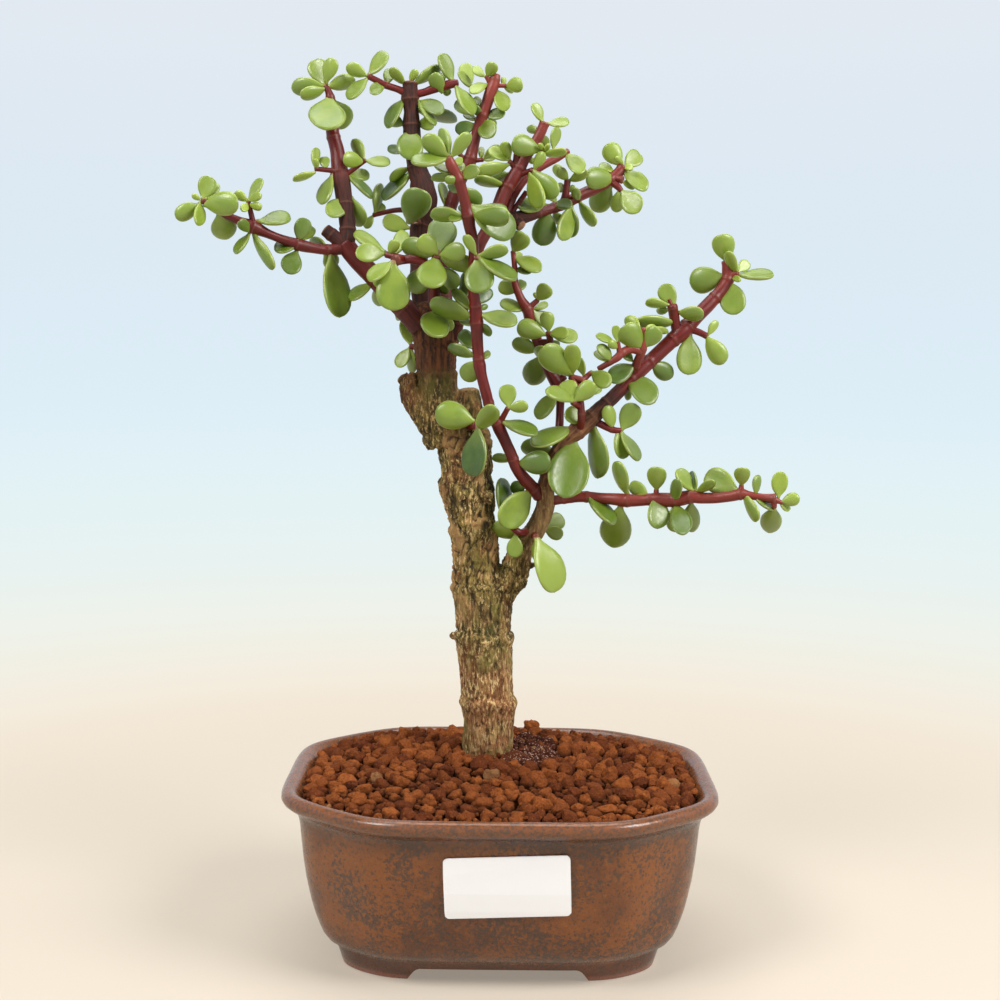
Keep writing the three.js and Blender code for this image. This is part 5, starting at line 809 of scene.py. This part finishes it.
class Paint:
    """A material whose base colour is laid on coat by coat. A tint is a display colour or a socket."""

    def __init__(self, name):
        self.material = bpy.data.materials.new(name)
        self.material.use_nodes = True
        self.tree = self.material.node_tree
        self.shader = self.tree.nodes["Principled BSDF"]
        self.coords = self.add("TexCoord", {}, "Object")

    def link(self, value, socket):
        if isinstance(value, bpy.types.NodeSocket):
            self.tree.links.new(value, socket)
        else:
            socket.default_value = value

    def add(self, kind, inputs, output=0, **settings):
        """A new node with these inputs and settings: one of its outputs."""
        node = self.tree.nodes.new("ShaderNode" + kind)
        for key, value in settings.items():
            setattr(node, key, value)
        for key, value in inputs.items():
            self.link(value, node.inputs[key])
        return node.outputs[output]

    def noise(self, scale, detail=3.0, rough=0.5, stretch=(1, 1, 1), where=None):
        where = self.coords if where is None else where
        inputs = {"Vector": self.add("Mapping", {"Vector": where, "Scale": stretch}, "Vector"),
                  "Scale": scale, "Detail": detail, "Roughness": rough}
        return self.add("TexNoise", inputs, "Fac")

    def cells(self, scale):
        return self.add("TexVoronoi", {"Vector": self.coords, "Scale": scale}, "Distance")

    def attribute(self, name, output="Fac"):
        return self.add("Attribute", {}, output, attribute_name=name)

    def axis(self, name):
        return self.add("SeparateXYZ", {0: self.coords}, name)

    def range(self, value, a, b, c=0.0, d=1.0, kind="SMOOTHSTEP"):
        """The value's stretch from a to b, made to run from c to d."""
        inputs = {"Value": value, "From Min": a, "From Max": b, "To Min": c, "To Max": d}
        return self.add("MapRange", inputs, "Result", interpolation_type=kind)

    def math(self, kind, a, b=0.0):
        return self.add("Math", {0: a, 1: b}, operation=kind)

    def times(self, a, b):
        return self.math("MULTIPLY", a, b)

    def plus(self, a, b):
        return self.math("ADD", a, b)

    def mix(self, share, a, b, kind="MIX"):
        a, b = (colour(*tint) if isinstance(tint, tuple) else tint for tint in (a, b))
        return self.add("Mix", {0: share, 6: a, 7: b}, 2, data_type="RGBA", blend_type=kind)

    def coat(self, tint, share, *span, kind="MIX"):
        """Lays a tint over the base colour, by a share that the span, where there is one, stretches."""
        self.base = self.mix(self.range(share, *span) if span else share, self.base, tint, kind)

    def bump(self, height, strength, distance, *under):
        inputs = {"Strength": strength, "Distance": distance, "Height": height}
        return self.add("Bump", {**inputs, **({"Normal": under[0]} if under else {})}, "Normal")

    def finish(self, roughness, specular=0.5, normal=None, **more):
        inputs = {"Base Color": self.base, "Roughness": roughness, "Specular IOR Level": specular}
        for key, value in more.items():
            inputs[key.replace("_", " ")] = value
        if normal:
            inputs["Normal"] = normal
        for key, value in inputs.items():
            self.link(value, self.shader.inputs[key])
        return self.material


def leaf_material():
    n = Paint("jade_leaf")
    along, rim = n.attribute("along"), n.attribute("rim")
    n.base = n.mix(n.attribute("tone"), (54, 80, 10), (132, 152, 45))
    n.coat((116, 142, 54), n.attribute("upper"), 0.3, -0.5, 0, 0.35)
    n.coat((84, 114, 28), n.noise(230, 2), 0.35, 0.7, 0, 0.4)
    n.coat((160, 180, 70), n.attribute("fresh"))
    n.coat((150, 168, 72), along, 0.55, 0, 0, 0.35)
    # paler margin: partly the leaf's own pale edge, partly a painted rim highlight
    n.coat((170, 182, 90), rim, 0.7, 0.97, 0, 0.5)
    n.coat((150, 104, 66), rim, 0.975, 0.998, 0, 0.35)
    n.coat((104, 88, 40), n.cells(300), 0.03, 0.06, 0.45, 0)
    n.coat((132, 70, 56), along, 0.05, -0.03, 0, 0.75)
    n.coat((146, 84, 52), along, 0.985, 1.02, 0, 0.8)
    n.coat((190, 204, 136), n.cells(1300), 0.04, 0.13, 0.4, 0)
    return n.finish(n.range(n.noise(700, 2), 0.3, 0.7, 0.3, 0.42), 0.6,
                    n.bump(n.noise(500, 2), 0.1, 0.0004),
                    Subsurface_Weight=0.1, Subsurface_Radius=(0.6, 1.0, 0.2), Subsurface_Scale=0.001)


def stem_material():
    n = Paint("jade_stem")
    wood, grain = n.attribute("wood"), n.attribute("grain", "Vector")
    fibre = n.noise(1100, 3, 0.6, (1, 1, 0.12), grain)
    lines = n.range(fibre, 0.3, 0.7)
    blotch = n.noise(240, 3, 0.6, (1, 1, 0.5), grain)
    brown = n.mix(lines, (22, 6, 2), (72, 28, 12))
    brown = n.mix(n.range(blotch, 0.45, 0.7, 0, 0.5), brown, (66, 20, 11))
    n.base = n.mix(lines, (82, 11, 8), (110, 25, 17))
    n.coat((84, 38, 20), blotch, 0.5, 0.75, 0, 0.4)
    n.coat((158, 70, 56), n.attribute("pink"))
    n.coat(brown, wood, 0.1, 0.9)
    n.coat(n.mix(lines, (80, 47, 23), (146, 98, 60)), wood, 1.0, 1.4)
    n.coat((108, 62, 44), n.attribute("scar"), 0.25, 0.9, 0, 0.5)
    n.coat(n.mix(n.noise(700), (104, 62, 46), (168, 124, 92)), n.attribute("cut"))
    ridges = n.times(n.range(fibre, 0.25, 0.75), n.range(wood, 0, 0.8, 0.12, 1))
    return n.finish(n.range(wood, 0, 0.9, 0.4, 0.74), 0.36, n.bump(ridges, 0.45, 0.0006))


def bark_material():
    n = Paint("jade_bark")
    z = n.axis("Z")
    streak = n.noise(420, 5, 0.68, (1, 1, 0.16))
    fine = n.noise(1100, 5, 0.7, (1, 1, 0.35))
    n.base = n.mix(n.range(streak, 0.34, 0.66), (104, 68, 34), (222, 174, 116))
    zone = n.range(z, 0.082, 0.112)
    share = n.range(n.plus(n.noise(110, 4, 0.62, (1, 1, 0.6)), n.times(zone, 0.12)), 0.44, 0.6)
    n.coat(n.mix(n.range(streak, 0.36, 0.64), (54, 44, 10), (140, 120, 54)),
           n.times(share, n.plus(n.times(zone, 0.52), 0.38)))
    n.coat((146, 86, 46), n.noise(85, 4, 0.6, (1, 1, 0.5)), 0.48, 0.63, 0, 0.55)
    n.coat((156, 98, 58), n.times(n.range(z, 0.1, 0.075, 0, 0.75),
                                  n.range(n.noise(150, 4, 0.6), 0.42, 0.58)))
    ring = n.range(n.math("ABSOLUTE", n.math("SUBTRACT", z, 0.105)), 0.007, 0.002)
    n.coat((56, 58, 18), n.times(ring, n.range(n.noise(190, 4, 0.6), 0.46, 0.56, 0, 0.8)))
    lit = n.range(n.noise(65, 3, 0.5, (1, 1, 0.6)), 0.36, 0.6, 0.35, 1)
    n.coat((236, 206, 144), n.times(n.range(fine, 0.525, 0.6), lit))
    n.coat((38, 24, 8), fine, 0.465, 0.36, 0, 0.9)
    n.coat((104, 104, 36), n.times(n.range(n.noise(60, 4, 0.62), 0.48, 0.62, 0, 0.65),
                                   n.range(streak, 0.33, 0.58)))
    n.coat((188, 146, 92), n.attribute("torn"), 0.2, 0.9, 0, 0.65)
    n.coat((42, 30, 12), n.attribute("crack"), 0.35, 0.95, 0, 0.85)
    n.coat([0.5, 0.43, 0.34, 1.0], z, 0.166, 0.18, 0, 0.85, kind="MULTIPLY")
    skin = n.mix(n.range(n.noise(800, 4, 0.6, (1, 1, 0.05)), 0.34, 0.66), (36, 15, 4), (114, 66, 32))
    n.coat(n.mix(n.range(n.noise(140), 0.5, 0.7, 0, 0.4), skin, (78, 50, 28)), n.attribute("smooth"))
    n.coat(n.mix(n.range(streak, 0.34, 0.66), (98, 66, 36), (150, 116, 72)),
           n.times(n.attribute("young"), 0.75))
    n.coat(n.mix(n.noise(600), (122, 92, 58), (176, 146, 100)), n.attribute("cut"))
    return n.finish(n.range(fine, 0.3, 0.7, 0.72, 0.92), 0.35,
                    n.bump(fine, 1.0, 0.0009, n.bump(streak, 0.7, 0.0014)))


def pot_material():
    n = Paint("pot_glaze")
    z = n.axis("Z")
    middle, speck = n.noise(330, 6, 0.75), n.noise(950, 4, 0.7)
    n.base = n.mix(n.range(n.noise(34, 5, 0.65), 0.38, 0.62), (96, 51, 15), (130, 72, 20))
    # painted shade: the body darkens in a band under the lip's overhang and towards the bottom; the
    # band also adds grey-blue speckle
    painted_shade_band = n.math("MAXIMUM", n.range(z, 0.044, 0.0545, 0, 0.6), n.range(z, 0.018, 0.007, 0, 0.35))
    n.coat((80, 52, 32), painted_shade_band)
    n.coat((144, 84, 28), middle, 0.47, 0.38, 0, 0.45)
    patches = n.range(n.noise(48, 4, 0.65), 0.36, 0.64, -0.09, 0.05)
    share = n.plus(n.range(painted_shade_band, 0, 0.6, 0, 0.05), patches)
    n.coat((64, 48, 40), n.plus(n.noise(760, 5, 0.72), share), 0.5, 0.53, 0, 0.78)
    n.coat((36, 18, 12), n.noise(1100, 3, 0.6), 0.6, 0.66, 0, 0.7)
    n.coat(n.mix(n.range(speck, 0.48, 0.55), (136, 80, 42), (94, 68, 54)),
           n.times(n.range(z, 0.0546, 0.056), 0.75))
    # painted shade: the foot darkens below the step
    n.coat((92, 50, 34), n.times(n.range(z, 0.0088, 0.0062), 0.55))
    n.coat((150, 82, 54), z, 0.0026, 0.0012, 0, 0.8)
    return n.finish(n.range(middle, 0.35, 0.65, 0.15, 0.3), 0.55,
                    n.bump(speck, 0.2, 0.0004, n.bump(n.noise(70), 0.22, 0.0016)))


def soil_material(name, bed):
    n = Paint(name)
    n.base = n.mix(0.3 if bed else n.attribute("tone"), (76, 31, 10), (152, 84, 37))
    n.coat((112, 56, 26), n.noise(700, 4, 0.6), 0.35, 0.68, 0, 0.6)
    n.coat((168, 108, 62), n.noise(2400), 0.6, 0.72, 0, 0.6)
    if bed:
        # painted shade: the soil body is made near black so the gaps between granules read as shade
        n.coat((16, 5, 1), 0.92)
    else:
        dark = n.attribute("dark")
        n.coat((60, 26, 10), n.noise(1700), 0.44, 0.34, 0, 0.5)
        n.coat((60, 26, 15), dark)
        # painted glints: pale specks on the dark crumbs stand in for highlights
        n.coat((190, 154, 138), n.times(dark, n.range(n.noise(1500, 3, 0.6), 0.58, 0.63)))
        n.coat((150, 112, 74), n.attribute("pale"))
        # painted shade: each granule turns near black on its lower part, by the low attribute, as the
        # shade between granules
        n.coat((24, 9, 3), n.attribute("low"))
    return n.finish(0.92, 0.0 if bed else 0.15, n.bump(n.noise(1800, 4, 0.65), 0.7, 0.0006,
                                                       n.bump(n.noise(520, 4, 0.6), 0.8, 0.0016)))


def plain_material(name, rgb, roughness):
    n = Paint(name)
    n.base = n.mix(n.range(n.noise(60, 2), 0.3, 0.7, 0, 0.06), rgb, tuple(c * 0.92 for c in rgb))
    return n.finish(roughness)


# ---- soil
def soil_height(x, y):
    """Height of the soil's top at x, y in the pot's own frame."""
    away = np.hypot((x - TRUNK_X) / 62, (y - TRUNK_Y) / 56)
    rough = 0.9 * noise3(np.array([x * 0.09, y * 0.09, 0]), 90)
    return float(SOIL_TOP + MOUND * np.clip(1 - away, 0, 1) + rough)


def bed_height(x, y):
    """Height of the soil body itself at x, y in the pot's own frame."""
    start = (np.array([x, y, 90.0]) + SHIFT) * MM
    found, at, _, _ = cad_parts["soil"].ray_cast(Vector(start), Vector((0, 0, -1)))
    return at.z * 1000 - SHIFT[2] if found else 57.0


def granule(kind, rng, rounds):
    """A crumbly lump on the unit ball: vertices and triangles."""
    g = (1 + 5 ** 0.5) / 2
    verts = [(-1, g, 0), (1, g, 0), (-1, -g, 0), (1, -g, 0), (0, -1, g), (0, 1, g),
             (0, -1, -g), (0, 1, -g), (g, 0, -1), (g, 0, 1), (-g, 0, -1), (-g, 0, 1)]
    tris = [(0, 11, 5), (0, 5, 1), (0, 1, 7), (0, 7, 10), (0, 10, 11), (1, 5, 9), (5, 11, 4),
            (11, 10, 2), (10, 7, 6), (7, 1, 8), (3, 9, 4), (3, 4, 2), (3, 2, 6), (3, 6, 8),
            (3, 8, 9), (4, 9, 5), (2, 4, 11), (6, 2, 10), (8, 6, 7), (9, 8, 1)]
    verts = [np.array(p) / np.linalg.norm(p) for p in verts]
    for _ in range(rounds):
        middle, out = {}, []
        for a, b, c in tris:
            mids = []
            for p, q in ((a, b), (b, c), (c, a)):
                key = (min(p, q), max(p, q))
                if key not in middle:
                    middle[key] = len(verts)
                    verts.append(unit(verts[p] + verts[q]))
                mids.append(middle[key])
            ab, bc, ca = mids
            out += [(a, ab, ca), (b, bc, ab), (c, ca, bc), (ab, bc, ca)]
        tris = out
    p = np.array(verts)
    shape = 1 + 0.3 * noise3(p * 1.2 + kind * 9.7, 100) + 0.2 * noise3(p * 2.7 + kind * 5.1, 101)
    if rounds > 1:
        shape = shape + 0.11 * noise3(p * 5.3 + kind * 3.3, 102)
    p = p * shape[:, None]
    for _ in range(4):
        d = unit(rng.normal(size=3))
        limit = 0.62 + 0.24 * rng.random()
        p = p - np.outer(np.maximum(p @ d - limit, 0) * 0.85, d)
    return p, tris


# loose granules: radius, how many, how close together, and how far they may lie above the rest
GRANULES = [(2.9, 50, 0.95, 1.4), (2.5, 190, 0.94, 1.2), (2.2, 300, 0.92, 1.0), (1.85, 340, 0.9, 0.7),
            (1.4, 560, 0.88, -0.5), (1.0, 700, 0.86, -0.8), (0.7, 160, 0.82, 0.9)]
BACK_GRANULE, COARSE, CELL, KINDS = (12.6, 49.0, 62.4, 2.7), 1.8, 6, 18


def in_heap(x, y, half_width, half_depth, middle_x=HEAP_X):
    """Below 1 inside an oval round the heap of dark crumbs."""
    return ((x - middle_x) / half_width) ** 2 + ((y - HEAP_Y) / half_depth) ** 2


def find_spots(rng):
    """Where the granules lie, and their radius."""
    spots, cells = [BACK_GRANULE], {}

    def free(x, y, z, r, share):
        near = [spot for i in (-1, 0, 1) for j in (-1, 0, 1)
                for spot in cells.get((int(x // CELL) + i, int(y // CELL) + j), ())]
        return all((x - qx) ** 2 + (y - qy) ** 2 + (z - qz) ** 2 >= (share * (r + qr)) ** 2
                   for qx, qy, qz, qr in near)

    for r0, want, share, up in GRANULES:
        got, tries = 0, 0
        while got < want and tries < want * 14:
            tries += 1
            r = r0 * (0.88 + 0.26 * rng.random())
            x, y = rng.uniform(-66, 68), rng.uniform(-54, 54)
            limit = plan_radius(math.atan2(y, x - POT_X), 66.0 - r * 0.95, 52.6 - r * 0.95)
            away = math.hypot(x - POT_X, y)
            if away > limit or math.hypot(x - TRUNK_X, y - TRUNK_Y) < 9.3 + r * 0.7:
                continue
            if r > 1.6 and in_heap(x, y, 6.5, 13, 11.5) < 1:
                continue
            top = soil_height(x, y)
            z = top + 0.5 + (rng.random() - 0.45) * 1.8 + up * rng.random()
            inward = min((limit - away) / 12, 1)
            z = max(min(z, top + 2.5 + 2.2 * inward - r), bed_height(x, y) - 0.4 * r)
            if free(x, y, z, r, share):
                cells.setdefault((int(x // CELL), int(y // CELL)), []).append((x, y, z, r))
                spots.append((x, y, z, r))
                got += 1
    # a heap of small dark crumbs lies beside the trunk; its fine roots are not drawn
    crumbs, tries = 0, 0
    while crumbs < CRUMBS and tries < CRUMB_TRIES:
        tries += 1
        x, y, r = rng.uniform(2, 22), rng.uniform(-5, 33), rng.uniform(0.55, 1.15)
        share = in_heap(x, y, 9, 18)
        if share > 1 or math.hypot(x - TRUNK_X, y - TRUNK_Y) < 9.6:
            continue
        spots.append((x, y, soil_height(x, y) + 0.6 + 2.2 * (1 - share) * rng.uniform(0.5, 1), r))
        crumbs += 1
    return spots


def build_granules(material):
    rng = np.random.default_rng(31)
    spots = find_spots(rng)
    pieces = []
    for name, rounds, group in (("coarse", 2, [s for s in spots if s[3] > COARSE]),
                                ("fine", 1, [s for s in spots if s[3] <= COARSE])):
        kinds = [granule(k, rng, rounds) for k in range(KINDS)]
        heap = Gather()
        for i, (x, y, z, r) in enumerate(group):
            p, tris = kinds[i % KINDS]
            w, a, b, c = unit(rng.normal(size=4))
            cross = np.array([[0, -c, b], [c, 0, -a], [-b, a, 0]])
            turn = np.eye(3) + 2 * (w * cross + cross @ cross)
            block = (p * (1 + 0.2 * rng.uniform(-1, 1, 3)) * r * 1.1) @ turn.T + [x, y, z]
            inside = in_heap(x, y, 9.5, 18) < 1 + 0.25 * rng.uniform(-1, 1)
            tone = rng.random()
            dark = (0.75 + 0.25 * rng.random()) if inside and rng.random() < 0.93 else 0.0
            # low is painted shade: it rises to 0.85 on the parts of each granule lower than 1.5 mm
            # above the soil body
            heap.add(block, tris, tone=tone, dark=dark, pale=0.55 if rng.random() < 0.006 else 0.0,
                     low=np.clip((bed_height(x, y) + 1.5 - block[:, 2]) / 1.8, 0, 1) * 0.85)
        piece = heap.make(f"soil_{name}_granules", material, SHIFT)
        piece.data.set_sharp_from_angle(angle=math.radians(GRANULE_SHARP))
        pieces.append(piece)
    return pieces


# ---- put together
def dress(piece, node=None):
    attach(piece, "root")
    if node:
        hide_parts(node)


def ring_places(path, length, roots):
    """A ring goes round the stem at each pair of leaves, and on bare lengths about every 11 mm."""
    rings = []
    for root in roots:
        away = np.linalg.norm(path[:, :3] - root, axis=1)
        k = int(np.argmin(away))
        if away[k] < path[k, 3] + 1.5 and all(abs(length[k] - s) > 5.2 for s in rings):
            rings.append(length[k])
    for s in np.arange(6.0, length[-1], RING_EVERY):
        if all(abs(s - other) > 6.5 for other in rings):
            rings.append(s)
    return np.array(rings or [-99.0])


def build_stems(name, number, roots, material):
    low, high = PINK_Z.get(name, NEVER_PINK)
    stems = Gather()
    for i, limb in enumerate(LIMBS[name]):
        values = WOOD.get(name, {}).get(i, (0.0, 0.0))
        own_spot = [i * 7.1, number * 5.3, 0]
        path = limb_path(limb, STEM_STEP)
        length = run_along(path)
        rings = ring_places(path, length, roots)

        def woody(run):
            return np.interp(run / length[-1], np.linspace(0, 1, len(values)), values)

        def to_ring(run):
            return np.min(np.abs(run[:, None] - rings[None]), axis=1)

        def shape(run, grain):
            near = to_ring(run)
            knot = 0.12 * hump(near, 0.6) - 0.03 * hump(near - 1.2, 0.6)
            spot = grain + own_spot
            rough = woody(run)[:, None] * (0.2 * fbm(spot * [0.7, 0.7, 0.22], 3, 110)
                                           + 0.12 * noise3(spot * [2.2, 2.2, 0.5], 111))
            soft = 0.02 * noise3(spot * [0.5, 0.5, 0.4], 112)
            return (knot * np.minimum(path[:, 3] / 1.6, 1.6))[:, None] + rough + soft

        block, quads, run, grain = tube(path, STEM_SIDES, shape)
        # the two rings of the rounded end and its last point, but not the point at the start
        cut = np.arange(len(block)) >= len(block) - 2 - 2 * STEM_SIDES
        cut[-2] = False
        stems.add(block, quads, wood=woody(run), pink=ramp(block[:, 2], low, high - low) * 0.6,
                  scar=hump(to_ring(run), 0.42), grain=(grain + own_spot) * MM,
                  cut=(cut & ((name, i) in CUT_ENDS)).astype(float))
    return stems.make(f"{name}_stems", material)


leaves = [make_leaf(row, name) for name, (_, text) in PLANT.items() for row in table(text, 6)]
spread(leaves)
leaf_skin, stem_skin, bark = leaf_material(), stem_material(), bark_material()
for number, name in enumerate(LIMBS):
    own = [leaf for leaf in leaves if leaf["branch"] == name]
    stems = build_stems(name, number, [place(*leaf["root"][:3]) for leaf in own], stem_skin)
    blades = Gather()
    for k, leaf in enumerate(own):
        block, quads, columns = leaf_mesh(leaf, k + 100 * number)
        blades.add(block, quads, **columns, tone=rnd(),
                   fresh=max(fresh_share(leaf), FRESH.get(name, 0.0)))
    for piece in (stems, blades.make(f"{name}_leaves", leaf_skin)):
        fix_outside(piece)
        dress(piece, name)

dress(build_trunk(bark), "trunk")
dress(build_pot(pot_material()), "pot")
for granules in build_granules(soil_material("soil_granule", False)):
    dress(granules)

for node, material in (("soil", soil_material("soil_bed", True)),
                       ("label", plain_material("label_film", (246, 248, 252), 0.42)),
                       ("drain_mesh_left", plain_material("drain_plastic", (38, 38, 38), 0.6)),
                       ("drain_mesh_right", plain_material("drain_plastic_right", (38, 38, 38), 0.6))):
    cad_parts[node].data.materials.clear()
    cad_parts[node].data.materials.append(material)


# ---- floor, backdrop, light and camera
def paper(name, along, stops, clear):
    """Pale studio paper. Along gives the way through the stops, and clear the share of its own glow
    that is taken away."""
    n = Paint(name)
    tint = n.add("ValToRGB", {"Fac": n.range(along(n), 0, 2, 0, 1, "LINEAR")}, "Color")
    elements = tint.node.color_ramp.elements
    for element, (at, *rgb) in zip(elements, (stops[0], stops[-1])):
        element.position, element.color = at, colour(*rgb)
    for at, *rgb in stops[1:-1]:
        elements.new(at).color = colour(*rgb)
    n.base = n.mix(1.0, tint, [0.67, 0.67, 0.67, 1.0], "MULTIPLY")
    n.finish(0.85, 0.2)
    glow = n.add("Emission", {"Color": tint})
    both = n.add("MixShader", {0: clear(n), 1: n.shader.outputs[0], 2: glow})
    n.link(both, n.tree.nodes["Material Output"].inputs["Surface"])
    return n.material


def from_middle(n):
    x, y = n.axis("X"), n.axis("Y")
    return n.math("SQRT", n.plus(n.times(x, x), n.times(y, y)))


angle = turns(ROUND)
circle = np.stack([np.cos(angle), np.sin(angle), angle * 0], 1)
FLOOR_RADII, WALL_HEIGHTS = (150, 300, 450, 700, 1100, 1600, 2000), (0, 250, 500, 1000, 2000)
CREAM = table("""0 246 233 215, 0.17 246 234 217, 0.23 243 238 225, 0.31 239 242 234, 0.46 232 242 241,
0.71 228 242 244, 1 226 241 246""", 4)
SKY = table("""0 226 241 246, 0.05 222 238 247, 0.12 220 235 245, 0.22 221 233 243, 0.38 227 233 241,
1 230 234 240""", 4)
fan = [[k, (k + 1) % ROUND, ROUND * len(FLOOR_RADII)] for k in range(ROUND)]
floor = make("floor", np.vstack([circle * r for r in FLOOR_RADII] + [[0, 0, 0]]),
             fan + [face[::-1] for face in ring_faces(len(FLOOR_RADII), ROUND, False)],
             paper("floor_paper", from_middle, CREAM,
                   lambda n: n.range(from_middle(n), 0.14, 0.42, 0.3, 1)), smooth=False)
wall = make("backdrop", np.vstack([circle * FLOOR_RADII[-1] + [0, 0, z] for z in WALL_HEIGHTS]),
            ring_faces(len(WALL_HEIGHTS), ROUND, False),
            paper("backdrop_paper", lambda n: n.axis("Z"), SKY, lambda n: 1.0))
wall.visible_diffuse = wall.visible_shadow = False

world = bpy.data.worlds.new("studio")
world.use_nodes = True
world.node_tree.nodes["Background"].inputs["Color"].default_value = (0.95, 0.97, 1.0, 1.0)
world.node_tree.nodes["Background"].inputs["Strength"].default_value = 0.05
bpy.context.scene.world = world

for name, at, target, size, power, tint in (
        ("key", (-0.6, -0.55, 0.95), (0, 0, 0.16), 0.5, 9.7, (1.0, 0.985, 0.95)),
        ("second", (0.75, -0.45, 0.75), (0, 0, 0.14), 0.55, 11.4, (1.0, 0.98, 0.95)),
        ("top", (0.0, 0.15, 1.15), (0, 0, 0.1), 0.9, 8.5, (1.0, 1.0, 1.0))):
    data = bpy.data.lights.new(name, "AREA")
    data.shape, data.size, data.energy, data.color = "DISK", size, power, tint
    light = add_object(name, data)
    light.location = at
    light.rotation_mode = "QUATERNION"
    light.rotation_quaternion = (Vector(target) - Vector(at)).to_track_quat("-Z", "Y")

camera_data = bpy.data.cameras.new("camera")
camera_data.lens, camera_data.sensor_width = LENS, 36.0
camera_data.clip_start, camera_data.clip_end = 0.02, 20
camera = add_object("camera", camera_data)
camera.matrix_world = (Matrix.Translation((SHIFT[0] * MM, (FAN_Y + SHIFT[1]) * MM, FAN_Z * MM))
                       @ Matrix.Rotation(math.radians(90 + CAMERA_TILT), 4, "X")
                       @ Matrix.Rotation(math.radians(CAMERA_ROLL), 4, "Z"))
bpy.context.scene.camera = camera
bpy.context.scene.view_settings.view_transform = "Standard"
